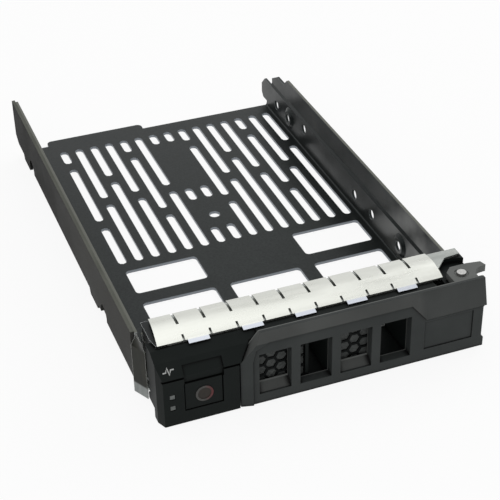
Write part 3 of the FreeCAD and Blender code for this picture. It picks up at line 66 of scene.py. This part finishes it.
class Shader:
    """A material's node tree with short ways to add what the finishes here need."""

    def __init__(self, name):
        self.material = bpy.data.materials.new(name)
        self.material.use_nodes = True
        self.tree = self.material.node_tree
        self.bsdf = self.tree.nodes["Principled BSDF"]
        texture = self.add("ShaderNodeTexCoord")
        self.place, self.normal = texture.outputs["Object"], texture.outputs["Normal"]

    def add(self, kind, **settings):
        """A new node, with settings such as its operation."""
        node = self.tree.nodes.new(kind)
        for key, value in settings.items():
            setattr(node, key, value)
        return node

    def link(self, source, target):
        """Join an output socket to an input socket."""
        self.tree.links.new(source, target)

    def noise(self, scale, detail=4.0, roughness=0.55, stretch=None):
        """Noise over the object, finer along axes with a larger stretch."""
        node = self.add("ShaderNodeTexNoise")
        node.inputs["Scale"].default_value = scale
        node.inputs["Detail"].default_value = detail
        node.inputs["Roughness"].default_value = roughness
        source = self.place
        if stretch:
            mapping = self.add("ShaderNodeMapping")
            mapping.inputs["Scale"].default_value = stretch
            self.link(self.place, mapping.inputs["Vector"])
            source = mapping.outputs["Vector"]
        self.link(source, node.inputs["Vector"])
        return node.outputs["Fac"]

    def ramp(self, factor, low, high, start=NOISE_LOW, end=NOISE_HIGH):
        """A colour that goes from low to high as the factor goes from start to end."""
        node = self.add("ShaderNodeValToRGB")
        node.color_ramp.elements[0].position = start
        node.color_ramp.elements[1].position = end
        node.color_ramp.elements[0].color = (*low, 1)
        node.color_ramp.elements[1].color = (*high, 1)
        self.link(factor, node.inputs["Fac"])
        return node.outputs["Color"]

    def span(self, factor, low, high):
        """A noise's usual range turned into low to high."""
        node = self.link_in("ShaderNodeMapRange", factor)
        node.inputs["From Min"].default_value = NOISE_LOW
        node.inputs["From Max"].default_value = NOISE_HIGH
        node.inputs["To Min"].default_value = low
        node.inputs["To Max"].default_value = high
        return node.outputs["Result"]

    def edge(self, radius):
        """1 on edges that are sharper than the radius, 0 on flat faces."""
        flat = self.add("ShaderNodeNewGeometry").outputs["Normal"]
        rounded = self.rounded(radius)
        dot = self.link_in("ShaderNodeVectorMath", rounded, operation="DOT_PRODUCT")
        self.link(flat, dot.inputs[1])
        flat_match, edge_match = 0.99, 0.80
        return self.step(dot.outputs["Value"], flat_match, edge_match)

    def rounded(self, radius):
        """The surface normal with its edges rounded by the radius."""
        bevel = self.add("ShaderNodeBevel", samples=BEVEL_SAMPLES)
        bevel.inputs["Radius"].default_value = radius
        return bevel.outputs["Normal"]

    def crevice_shade(self, reach):
        """1 deep in grooves and gaps narrower than the reach, 0 on open faces: a mask for painted
        shade.
        """
        node = self.add("ShaderNodeAmbientOcclusion", samples=CREVICE_SAMPLES)
        node.inputs["Distance"].default_value = reach
        open_sky, deep_sky = 0.97, 0.62
        return self.step(node.outputs["AO"], open_sky, deep_sky)

    def part(self, vector, axis):
        """One component of a vector socket."""
        return self.link_in("ShaderNodeSeparateXYZ", vector).outputs[axis]

    def link_in(self, kind, source, **settings):
        """A new node with the source on its first input."""
        node = self.add(kind, **settings)
        self.link(source, node.inputs[0])
        return node

    def step(self, value, start, end):
        """0 before start and 1 past end, or the other way where end is the lower."""
        node = self.link_in("ShaderNodeMapRange", value)
        node.inputs["From Min"].default_value = start
        node.inputs["From Max"].default_value = end
        return node.outputs["Result"]

    def above(self, value, limit, soft):
        """1 above a limit and 0 below it, with a change as wide as soft on each side."""
        return self.step(value, limit - soft, limit + soft)

    def below(self, value, limit, soft):
        """1 below a limit and 0 above it, with a change as wide as soft on each side."""
        return self.step(value, limit + soft, limit - soft)

    def both(self, first, second):
        """The product of two masks or values."""
        node = self.link_in("ShaderNodeMath", first, operation="MULTIPLY")
        self.link(second, node.inputs[1])
        return node.outputs[0]

    def either(self, first, second):
        """The larger of two masks."""
        node = self.link_in("ShaderNodeMath", first, operation="MAXIMUM")
        self.link(second, node.inputs[1])
        return node.outputs[0]

    def facing(self, axis):
        """The size of the surface normal's component along an axis of the part."""
        node = self.link_in("ShaderNodeMath", self.part(self.normal, axis), operation="ABSOLUTE")
        return node.outputs[0]

    def mix(self, factor, low, high):
        """One colour over another by a factor; each of the three is a socket or a plain value."""
        node = self.add("ShaderNodeMix", data_type="RGBA")
        colour_a, colour_b, mixed = node.inputs[6], node.inputs[7], node.outputs[2]
        for socket, value in ((node.inputs["Factor"], factor), (colour_a, low), (colour_b, high)):
            if hasattr(value, "is_output"):
                self.link(value, socket)
            else:
                socket.default_value = (*value, 1) if isinstance(value, tuple) else value
        return mixed

    def surface(self, bump, strength, depth, round_edges=0.0):
        """Bump and softened edges on the shader's normal."""
        node = self.add("ShaderNodeBump")
        node.inputs["Strength"].default_value = strength
        node.inputs["Distance"].default_value = depth
        self.link(bump, node.inputs["Height"])
        if round_edges:
            self.link(self.rounded(round_edges), node.inputs["Normal"])
        self.link(node.outputs["Normal"], self.bsdf.inputs["Normal"])

    def set(self, **values):
        """Uniform values on the shader's own sockets."""
        for name, value in values.items():
            self.bsdf.inputs[name.replace("_", " ")].default_value = value

    def drive(self, socket, source):
        """A socket of the shader that follows a texture."""
        self.link(source, self.bsdf.inputs[socket])


# ---------------------------------------------------------------- finishes

def tray_steel():
    """Dark coated steel: satin and speckled, with bare metal on its sheared edges, a painted
    highlight on its sharp edges, a painted reflection on inner wall faces near the bezel and
    painted light on its front wall.
    """
    m = Shader("tray_steel")
    low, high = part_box("tray")
    floor_top, wall_shoulder = low.z + 1.06 * MM, high.z - 3.2 * MM
    front_wall_y, walls_from = low.y + 0.3 * MM, high.x - 3.5 * MM
    reflection_starts_y, reflection_full_y = low.y + 63.8 * MM, low.y + 8.8 * MM
    speckle_share = 0.45
    mottle = m.noise(90, detail=5)
    speckle = m.noise(1500, detail=3, roughness=0.7)
    coat = m.mix(speckle_share,
                 m.ramp(mottle, (0.013, 0.0160, 0.0158), (0.019, 0.0230, 0.0225)),
                 m.ramp(speckle, (0.008, 0.0100, 0.0100), (0.028, 0.0320, 0.0315), 0.36, 0.66))
    height, depth, level = m.part(m.place, Z), m.part(m.place, Y), m.facing(Z)
    floor_side = m.both(m.below(height, floor_top, 0.02 * MM), m.step(level, 0.5, 0.4))
    wall_top = m.both(m.above(height, wall_shoulder, 0.2 * MM), m.step(level, 0.9, 0.95))
    # painted light: the front wall's faces are coloured near white, standing in for light seen
    # through the vents
    painted_light_front = m.both(m.below(depth, front_wall_y, 0.1 * MM), m.step(m.facing(Y), 0.8, 0.9))
    # a face that looks inward has a normal against its own place across the tray
    across = m.both(m.part(m.normal, X), m.part(m.place, X))
    inward = m.step(across, -walls_from, -walls_from - 1.5 * MM)
    towards_bezel = m.step(depth, reflection_starts_y, reflection_full_y)
    clouds = m.step(m.noise(45, detail=3), 0.38, 0.60)
    # painted reflection: pale cloudy patches on the inner wall faces towards the bezel
    painted_reflection = m.both(m.both(inward, towards_bezel), clouds)
    # painted highlight: every sharp edge of the tray is coloured pale
    body = m.mix(m.edge(0.4 * MM), coat, (0.15, 0.165, 0.17))
    for mask, colour in ((floor_side, (0.24, 0.26, 0.285)), (wall_top, (0.105, 0.108, 0.092)),
                         (painted_reflection, (0.215, 0.219, 0.212)), (painted_light_front, (0.62, 0.65, 0.63))):
        body = m.mix(mask, body, colour)
    m.drive("Base Color", body)
    m.drive("Roughness", m.span(mottle, 0.30, 0.42))
    m.set(Metallic=0.55, Specular_IOR_Level=0.22)
    m.surface(speckle, 0.10, 0.01 * MM, 0.25 * MM)
    return m.material


def moulded_plastic(name, low, high, roughness, grain=0.25, gloss=0.06):
    """Spark-textured moulding: fine grain, a little colour drift and painted shade in crevices."""
    m = Shader(name)
    drift = m.noise(60, detail=3)
    spark = m.noise(GRAIN_SCALE, detail=2)
    painted_crevice_shade = m.crevice_shade(1.2 * MM)
    # painted shade: crevices are coloured near black
    m.drive("Base Color", m.mix(painted_crevice_shade, m.ramp(drift, low, high), (0.002, 0.002, 0.002)))
    m.drive("Roughness", m.span(drift, roughness - 0.05, roughness + 0.06))
    m.set(Specular_IOR_Level=gloss)
    m.surface(spark, grain, 0.02 * MM, 0.3 * MM)
    return m.material


def lever_plastic():
    """The lever's moulding: paler on the bar's bevel as a painted highlight, and paler still on the
    ear behind it; painted shade in its grooves.
    """
    m = Shader("lever_plastic")
    low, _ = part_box("lever")
    bar_rear_y = low.y + 3.5 * MM
    drift = m.noise(60, detail=3)
    spark = m.noise(GRAIN_SCALE, detail=2)
    bar = m.ramp(drift, (0.030, 0.0335, 0.0328), (0.040, 0.0440, 0.0432))
    painted_highlight_brow = m.ramp(drift, (0.056, 0.0585, 0.0565), (0.070, 0.0730, 0.0705))
    ear = m.ramp(drift, (0.105, 0.110, 0.105), (0.135, 0.140, 0.135))
    # painted highlight: the bar's sloping faces, which catch light from above, are coloured paler
    sloping = m.both(m.step(m.facing(Z), 0.15, 0.35), m.step(m.facing(Z), 0.95, 0.85))
    bar = m.mix(sloping, bar, painted_highlight_brow)
    # painted shade: grooves and gaps of the bar are coloured near black
    bar = m.mix(m.crevice_shade(2 * MM), bar, (0.005, 0.005, 0.005))
    behind_bar = m.above(m.part(m.place, Y), bar_rear_y, 0.1 * MM)
    m.drive("Base Color", m.mix(behind_bar, bar, ear))
    m.drive("Roughness", m.span(drift, 0.40, 0.50))
    m.set(Specular_IOR_Level=0.1)
    m.surface(spark, 0.2, 0.02 * MM, 0.3 * MM)
    return m.material


def cover_plastic():
    """The rail cover: brownish grey, with a paler olive top edge and a darker rear end."""
    m = Shader("cover_plastic")
    low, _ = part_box("rail_cover")
    darkening_y, dark_y = low.y + 53.5 * MM, low.y + 108.5 * MM
    drift = m.noise(70, detail=4)
    face = m.ramp(drift, (0.032, 0.0320, 0.0300), (0.050, 0.0495, 0.0462))
    rear = m.ramp(drift, (0.010, 0.010, 0.0095), (0.017, 0.017, 0.0162))
    top = m.ramp(drift, (0.085, 0.088, 0.076), (0.118, 0.122, 0.106))
    face = m.mix(m.step(m.part(m.place, Y), darkening_y, dark_y), face, rear)
    m.drive("Base Color", m.mix(m.step(m.facing(Z), 0.6, 0.8), face, top))
    m.drive("Roughness", m.span(drift, 0.52, 0.66))
    m.set(Specular_IOR_Level=0.03)
    m.surface(m.noise(GRAIN_SCALE, detail=2), 0.3, 0.02 * MM, 0.3 * MM)
    return m.material


def spring_plate():
    """Bright spring strip: near white, faintly warm, with cooler lips and painted shade on its
    sheared ends and sides.
    """
    m = Shader("spring_plate")
    low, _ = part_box("emi_top_strip")
    lip_rear_y = low.y + 1.45 * MM
    drawn = m.noise(260, detail=3, stretch=(0.15, 1, 1))
    plate = m.ramp(drawn, (0.60, 0.61, 0.565), (0.67, 0.68, 0.635))
    lip = m.below(m.part(m.place, Y), lip_rear_y, 0.15 * MM)
    plate = m.mix(lip, plate, (0.50, 0.525, 0.575))
    # painted shade: the strip's end and side faces are coloured near black
    shaded_ends = m.either(m.step(m.facing(X), 0.55, 0.75), m.step(m.facing(Y), 0.93, 0.97))
    m.drive("Base Color", m.mix(shaded_ends, plate, (0.035, 0.037, 0.036)))
    m.drive("Roughness", m.span(drawn, 0.24, 0.36))
    m.set(Metallic=0.75)
    m.surface(drawn, 0.06, 0.01 * MM)
    return m.material


def spring_wing():
    """The side spring: a painted reflection, dark and bronze-brown above and grey at its foot, with
    painted highlights on its sheared edges.
    """
    m = Shader("spring_wing")
    low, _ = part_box("emi_side_strip")
    foot_top = low.z + 3.9 * MM
    drawn = m.noise(500, detail=4, stretch=(1, 1, 0.2))
    # painted reflection: dark above the foot, grey at the foot
    reflected_dark = m.ramp(drawn, (0.006, 0.0065, 0.0045), (0.021, 0.0215, 0.016))
    grey = m.ramp(drawn, (0.17, 0.185, 0.18), (0.26, 0.27, 0.265))
    foot = m.below(m.part(m.place, Z), foot_top, 0.3 * MM)
    # painted highlight on the sheared edges, over the painted reflection
    m.drive("Base Color", m.mix(m.edge(0.2 * MM), m.mix(foot, reflected_dark, grey), (0.55, 0.56, 0.54)))
    m.drive("Roughness", m.span(drawn, 0.30, 0.42))
    m.set(Metallic=0.85, Specular_IOR_Level=0.3)
    m.surface(drawn, 0.1, 0.01 * MM, 0.1 * MM)
    return m.material


def shield_steel():
    """The bezel's folded shield: rolled steel, with painted shade where it tucks under the strip's
    left end.
    """
    m = Shader("shield_steel")
    low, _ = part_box("front_shield")
    tucked_x = low.x + 4.4 * MM
    rolled = m.noise(220, detail=4, stretch=(0.2, 1, 1))
    steel = m.ramp(rolled, (0.26, 0.275, 0.26), (0.39, 0.405, 0.385))
    # painted shade: under the strip the faces are coloured near black, and only the edges keep a
    # steel colour
    shaded = m.mix(m.edge(0.3 * MM), (0.016, 0.018, 0.018), (0.45, 0.47, 0.47))
    tucked = m.below(m.part(m.place, X), tucked_x, 0.2 * MM)
    m.drive("Base Color", m.mix(tucked, steel, shaded))
    m.drive("Roughness", m.span(rolled, 0.30, 0.43))
    m.set(Metallic=0.9)
    m.surface(rolled, 0.05, 0.01 * MM)
    return m.material


def sheet_metal(name, low, high, roughness):
    """Plain rolled steel."""
    m = Shader(name)
    rolled = m.noise(220, detail=4, stretch=(0.2, 1, 1))
    m.drive("Base Color", m.ramp(rolled, low, high))
    m.drive("Roughness", m.span(rolled, roughness - 0.05, roughness + 0.08))
    m.set(Metallic=0.9)
    m.surface(rolled, 0.05, 0.01 * MM, 0.15 * MM)
    return m.material


def clear_plastic():
    """Smoky light pipe."""
    m = Shader("clear_plastic")
    cloud = m.noise(500, detail=2)
    m.drive("Base Color", m.ramp(cloud, (0.095, 0.103, 0.100), (0.135, 0.145, 0.140)))
    m.set(Roughness=0.25, IOR=1.49, Specular_IOR_Level=0.3)
    m.surface(cloud, 0.03, 0.01 * MM, 0.1 * MM)
    return m.material


def tinted(name, low, high, roughness):
    """A plain print or moulding in one colour, with a little drift."""
    m = Shader(name)
    drift = m.noise(700, detail=2)
    m.drive("Base Color", m.ramp(drift, low, high))
    m.set(Roughness=roughness, Specular_IOR_Level=0.25)
    m.surface(drift, 0.05, 0.01 * MM)
    return m.material


def ring_print():
    """The button's ring: grey print that turns red at its right side."""
    m = Shader("mark_grey")
    drift = m.noise(900, detail=2)
    low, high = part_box("button_ring")
    grey = m.ramp(drift, (0.045, 0.045, 0.042), (0.070, 0.068, 0.064))
    red = m.ramp(drift, (0.085, 0.020, 0.021), (0.120, 0.026, 0.028))
    right = m.step(m.part(m.place, X), (low.x + high.x) / 2, high.x)
    m.drive("Base Color", m.mix(right, grey, red))
    m.set(Roughness=0.45, Specular_IOR_Level=0.2)
    m.surface(drift, 0.05, 0.01 * MM)
    return m.material


def dress(mesh, material):
    """One material in the place of all that a mesh has."""
    mesh.materials.clear()
    mesh.materials.append(material)


def finish_nodes():
    """Give every CAD node its finish."""
    black = moulded_plastic("black_plastic", (0.0068, 0.0088, 0.0082), (0.0100, 0.0122, 0.0116),
                            roughness=0.48)
    screen = moulded_plastic("screen_metal", (0.004, 0.005, 0.005), (0.007, 0.008, 0.008),
                             roughness=0.5, grain=0.1)
    bright = sheet_metal("spring_steel", (0.45, 0.45, 0.44), (0.6, 0.6, 0.58), 0.3)
    pipes = clear_plastic()
    looks = {
        "tray": tray_steel(), "bezel_base": black, "release_button": black, "latch_catch": black,
        "lever": lever_plastic(), "rail_cover": cover_plastic(), "front_shield": shield_steel(),
        "pivot_pin": sheet_metal("pin_steel", (0.30, 0.30, 0.29), (0.42, 0.42, 0.41), 0.34),
        "lever_spring": bright, "button_spring": bright, "bezel_rivets": bright,
        "vent_screen_left": screen, "vent_screen_right": screen,
        "emi_top_strip": spring_plate(), "emi_side_strip": spring_wing(),
        "light_pipe_upper": pipes, "light_pipe_lower": pipes, "button_ring": ring_print(),
        "button_dot": tinted("mark_red", (0.011, 0.009, 0.006), (0.020, 0.014, 0.010), 0.4)}
    for node, material in looks.items():
        dress(NODES[node].data, material)


# ---------------------------------------------------------------- meshes

def closed_mesh(name, verts, faces):
    """A mesh from its points and faces, with every face turned outward."""
    shell = bmesh.new()
    points = [shell.verts.new(spot) for spot in verts]
    for face in faces:
        shell.faces.new([points[i] for i in face])
    bmesh.ops.recalc_face_normals(shell, faces=shell.faces)
    mesh = bpy.data.meshes.new(name)
    shell.to_mesh(mesh)
    shell.free()
    return mesh


def placed(name, data):
    """A new object in the scene that holds a mesh, lamp or camera."""
    obj = bpy.data.objects.new(name, data)
    bpy.context.scene.collection.objects.link(obj)
    return obj


# ---------------------------------------------------------------- the lever's hooked nose

def prism(name, corners, low, high):
    """A closed upright prism on the corners."""
    count = len(corners)
    verts = [(x, y, z) for z in (low, high) for x, y in corners]
    faces = [tuple(range(count))[::-1], tuple(range(count, 2 * count))]
    faces += [(i, (i + 1) % count, (i + 1) % count + count, i + count) for i in range(count)]
    return placed(name, closed_mesh(name, verts, faces))


def nose_cuts():
    """Plans of what is cut away: a round bite under the nose, and the bar's corner beside it."""
    pin_low, pin_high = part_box("pivot_pin")
    _, lever_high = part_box("lever")
    pivot, outside = (pin_low + pin_high) / 2, lever_high.x + 1 * MM
    right_of_pivot, before_pivot, radius = 7.5 * MM, 2 * MM, 3 * MM
    centre_x, centre_y = pivot.x + right_of_pivot, pivot.y - before_pivot
    angles = [math.tau * i / BITE_SIDES for i in range(BITE_SIDES)]
    bite = [(centre_x + radius * math.cos(a), centre_y + radius * math.sin(a)) for a in angles]
    corner = [(centre_x - 2.4 * MM, centre_y - 2.2 * MM), (outside, centre_y - 6.6 * MM),
              (outside, centre_y + 3.3 * MM), (centre_x, centre_y + radius)]
    return {"bite": bite, "corner": corner}


def add_hooked_lever():
    """The lever with the round bite under its nose and its bar's rear corner eased."""
    low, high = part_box("lever")
    cut_bottom, cut_top = low.z + 9 * MM, high.z + 1 * MM      # the bar's lower part stays whole
    piece = placed("lever_moulding", NODES["lever"].data.copy())
    welded = bmesh.new()
    welded.from_mesh(piece.data)
    bmesh.ops.remove_doubles(welded, verts=welded.verts, dist=0.001 * MM)
    welded.to_mesh(piece.data)
    welded.free()
    for name, outline in nose_cuts().items():
        cutter = prism(name, outline, cut_bottom, cut_top)
        cut = piece.modifiers.new(name, "BOOLEAN")
        cut.operation, cut.solver, cut.object = "DIFFERENCE", "EXACT", cutter
        shown = piece.evaluated_get(bpy.context.evaluated_depsgraph_get())
        shaped = bpy.data.meshes.new_from_object(shown)
        piece.modifiers.clear()
        piece.data = shaped
        bpy.data.objects.remove(cutter)
    dress(piece.data, NODES["lever"].data.materials[0])
    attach(piece, "lever")
    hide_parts("lever")


# ---------------------------------------------------------------- springs

def coil(node, axis, turns, wire):
    """A round-wire coil with closed ends, in the place of a CAD node's plainer one."""
    low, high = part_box(node)
    centre = (low + high) / 2
    across = (axis + 1) % 3
    radius = (high[across] - low[across]) / 2 - wire / 2
    start, end = low[axis] + wire / 2, high[axis] - wire / 2
    units = [Vector([float(i == (axis + k) % 3) for i in range(3)]) for k in range(3)]
    along, first, second = units
    steps, sides = turns * COIL_STEPS, COIL_SIDES
    verts, faces = [], []
    for i in range(steps + 1):
        turned = i / steps * turns
        angle = turned * math.tau
        rise = min(max((turned - CLOSED_TURNS) / (turns - 2 * CLOSED_TURNS), 0), 1)
        outward = first * math.cos(angle) + second * math.sin(angle)
        spot = centre + outward * radius
        spot[axis] = start + (end - start) * rise
        for k in range(sides):
            round_wire = k / sides * math.tau
            offset = outward * math.cos(round_wire) + along * math.sin(round_wire)
            verts.append(spot + offset * wire / 2)
    for i in range(steps):
        for k in range(sides):
            a, b = i * sides + k, i * sides + (k + 1) % sides
            faces.append((a, b, b + sides, a + sides))
    faces += [tuple(range(sides))[::-1], tuple(range(steps * sides, (steps + 1) * sides))]
    mesh = closed_mesh(f"{node}_coil", verts, faces)
    mesh.shade_smooth()
    piece = placed(f"{node}_coil", mesh)
    dress(piece.data, NODES[node].data.materials[0])
    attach(piece, "frame")
    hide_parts(node)
    return piece


def add_springs():
    """The torsion spring round the pivot, and the button's spring, which gets a mesh of its own."""
    coil("lever_spring", axis=Z, turns=4, wire=0.35 * MM)
    spring = coil("button_spring", axis=Y, turns=5, wire=0.3 * MM)
    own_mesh(spring)


# ---------------------------------------------------------------- the gauze in the vents

def woven_sheet(name, low, high):
    """A closed sheet of woven gauze that fills the box from low to high, its relief in the mesh."""
    pitch, relief = 0.8 * MM, 0.09 * MM
    across = int((high.x - low.x) / pitch * COLUMNS_PER_HALF_WAVE)
    up = int((high.z - low.z) / pitch * COLUMNS_PER_HALF_WAVE)
    verts, faces = [], []
    for depth, sway in ((low.y, -relief), (high.y, relief)):
        for j in range(up + 1):
            for i in range(across + 1):
                x = low.x + (high.x - low.x) * i / across
                z = low.z + (high.z - low.z) * j / up
                wave = math.sin(x / pitch * math.pi) * math.sin(z / pitch * math.pi)
                verts.append((x, depth + sway * wave, z))
    row, layer = across + 1, (across + 1) * (up + 1)
    for j in range(up):
        for i in range(across):
            a = j * row + i
            faces.append((a, a + 1, a + row + 1, a + row))
            faces.append((a + layer, a + layer + row, a + layer + row + 1, a + layer + 1))
    rim = list(range(across)) + [across + j * row for j in range(up)]
    rim += [up * row + across - i for i in range(across)] + [(up - j) * row for j in range(up)]
    for a, b in zip(rim, rim[1:] + rim[:1]):
        faces.append((b, a, a + layer, b + layer))
    return placed(name, closed_mesh(name, verts, faces))


def add_gauzes():
    """The fine gauze that each vent screen is moulded round, seen in its cells; its grey also
    stands in for light that shows through the cells.
    """
    # partly painted light: the gauze's grey stands in for light seen through the cells
    weave = tinted("gauze", (0.042, 0.046, 0.044), (0.066, 0.070, 0.068), 0.6)
    recess, thickness, margin = 0.45 * MM, 0.25 * MM, 0.3 * MM
    for side in ("left", "right"):
        low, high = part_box(f"vent_screen_{side}")
        front = Vector((low.x + margin, low.y + recess, low.z + margin))
        back = Vector((high.x - margin, low.y + recess + thickness, high.z - margin))
        gauze = woven_sheet(f"vent_gauze_{side}", front, back)
        gauze.data.materials.append(weave)
        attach(gauze, "frame")


# ---------------------------------------------------------------- the mark on the pod

def ribbon(name, points, width, thickness, place):
    """A flat raised line through 2-D points, laid on a surface by a matrix."""
    verts, faces = [], []
    half = width / 2
    for i, point in enumerate(points):
        before = points[max(i - 1, 0)]
        after = points[min(i + 1, len(points) - 1)]
        along = (Vector(after) - Vector(before)).normalized()
        side = Vector((-along.y, along.x)) * half
        for sign in (1, -1):
            for lift in (0, thickness):
                verts.append((point[0] + sign * side.x, point[1] + sign * side.y, lift))
    for i in range(len(points) - 1):
        a, b = i * 4, i * 4 + 4
        faces += [(a + 1, b + 1, b + 3, a + 3), (a, a + 2, b + 2, b),
                  (a, b, b + 1, a + 1), (a + 2, a + 3, b + 3, b + 2)]
    last = len(points) * 4 - 4
    faces += [(0, 1, 3, 2), (last, last + 2, last + 3, last + 1)]
    mesh = closed_mesh(name, verts, faces)
    mesh.transform(place)
    mesh.update()
    return placed(name, mesh)


def add_pulse_mark():
    """A plain zigzag printed in white on the pod's first slope, above the status lamps."""
    pod_low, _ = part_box("bezel_base")
    slope_run, slope_rise, slope_foot_z = 3.1 * MM, 4.5 * MM, pod_low.z + 17.3 * MM
    from_left, from_front, clearance = 3.7 * MM, 1.58 * MM, 0.02 * MM
    centre = Vector((pod_low.x + from_left, pod_low.y + from_front,
                     slope_foot_z + from_front * slope_rise / slope_run))
    place = Matrix.Translation(centre) @ Matrix.Rotation(math.atan2(slope_rise, slope_run), 4, "X")
    place = place @ Matrix.Translation((0, 0, clearance))
    zigzag = [(-1.75, -0.25), (-0.85, -0.25), (-0.35, 1.15), (0.25, -1.2), (0.75, 0.3), (1.75, 0.3)]
    line = [(x * MM, y * MM) for x, y in zigzag]
    mark = ribbon("pulse_mark", line, width=0.45 * MM, thickness=0.04 * MM, place=place)
    mark.data.materials.append(tinted("mark_white", (0.30, 0.31, 0.30), (0.40, 0.41, 0.40), 0.5))
    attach(mark, "frame")


# ---------------------------------------------------------------- floor, light, camera

def rays_that_see_white(tree):
    """1 for camera, transmission and glossy rays, 0 for the rest."""
    rays = tree.nodes.new("ShaderNodeLightPath").outputs
    seen = rays["Is Camera Ray"]
    for kind in ("Is Transmission Ray", "Is Glossy Ray"):
        larger = tree.nodes.new("ShaderNodeMath")
        larger.operation = "MAXIMUM"
        tree.links.new(seen, larger.inputs[0])
        tree.links.new(rays[kind], larger.inputs[1])
        seen = larger.outputs[0]
    return seen


def add_floor():
    """A pale floor that shows almost white to the camera and keeps a light shadow."""
    glow_share, below_part = 0.9, 0.05 * MM
    bpy.ops.mesh.primitive_plane_add(size=6, location=(0, 0, -below_part))
    floor = bpy.context.object
    floor.name = "floor"
    material = bpy.data.materials.new("floor_white")
    material.use_nodes = True
    tree = material.node_tree
    tree.nodes.clear()
    out = tree.nodes.new("ShaderNodeOutputMaterial")
    diffuse = tree.nodes.new("ShaderNodeBsdfDiffuse")
    diffuse.inputs["Color"].default_value = (0.86, 0.86, 0.86, 1)
    glow = tree.nodes.new("ShaderNodeEmission")
    glow.inputs["Color"].default_value = (1, 1, 1, 1)
    share = tree.nodes.new("ShaderNodeMath")
    share.operation = "MULTIPLY"
    share.inputs[1].default_value = glow_share
    mix = tree.nodes.new("ShaderNodeMixShader")
    tree.links.new(rays_that_see_white(tree), share.inputs[0])
    tree.links.new(share.outputs[0], mix.inputs["Fac"])
    tree.links.new(diffuse.outputs[0], mix.inputs[1])
    tree.links.new(glow.outputs[0], mix.inputs[2])
    tree.links.new(mix.outputs[0], out.inputs["Surface"])
    floor.data.materials.append(material)


def add_world():
    """Even white surroundings: full white to the camera and in reflections, softer as light."""
    as_light, as_seen = 0.55, 1.0
    world = bpy.data.worlds.new("studio")
    bpy.context.scene.world = world
    world.use_nodes = True
    tree = world.node_tree
    background = tree.nodes["Background"]
    background.inputs["Color"].default_value = (1, 1, 1, 1)
    strength = tree.nodes.new("ShaderNodeMapRange")
    strength.inputs["To Min"].default_value = as_light
    strength.inputs["To Max"].default_value = as_seen
    tree.links.new(rays_that_see_white(tree), strength.inputs["Value"])
    tree.links.new(strength.outputs["Result"], background.inputs["Strength"])


def add_lamp(name, place, size, power):
    """A square soft lamp that looks at the middle of the part."""
    middle = Vector((0, -0.02, 0.01))
    light = bpy.data.lights.new(name, "AREA")
    light.size = size
    light.energy = power
    lamp = placed(name, light)
    lamp.location = place
    lamp.rotation_euler = (middle - Vector(place)).to_track_quat("-Z", "Y").to_euler()


def add_camera():
    """The photograph's viewpoint: left of the front, above, with a slight roll."""
    turn, dip, roll = math.radians(20.27), math.radians(33.75), math.radians(1.19)
    ahead = math.cos(dip)
    forward = Vector((math.sin(turn) * ahead, math.cos(turn) * ahead, -math.sin(dip)))
    level = forward.cross(Vector((0, 0, 1))).normalized()
    up = level.cross(forward)
    right = level * math.cos(roll) - up * math.sin(roll)
    up = right.cross(forward)
    camera = bpy.data.cameras.new("camera")
    camera.sensor_width = 36
    camera.lens = 96.26
    camera.clip_start = 0.01
    obj = placed("camera", camera)
    place = Matrix((right, up, -forward)).transposed().to_4x4()
    place.translation = (-0.1319, -0.4062, 0.2662)
    obj.matrix_world = place
    bpy.context.scene.camera = obj


def light_scene():
    """Three soft lamps, at a level where a colour renders about as it is written."""
    add_lamp("overhead", (-0.1, 0.25, 0.9), size=0.9, power=1.9)
    add_lamp("front_left", (-0.45, -0.85, 0.42), size=0.5, power=2.2)
    add_lamp("right_rear", (0.7, 0.35, 0.5), size=0.5, power=2.0)
    bpy.context.scene.view_settings.view_transform = "Standard"


finish_nodes()
add_hooked_lever()
add_springs()
add_pulse_mark()
add_gauzes()
add_floor()
add_world()
light_scene()
add_camera()
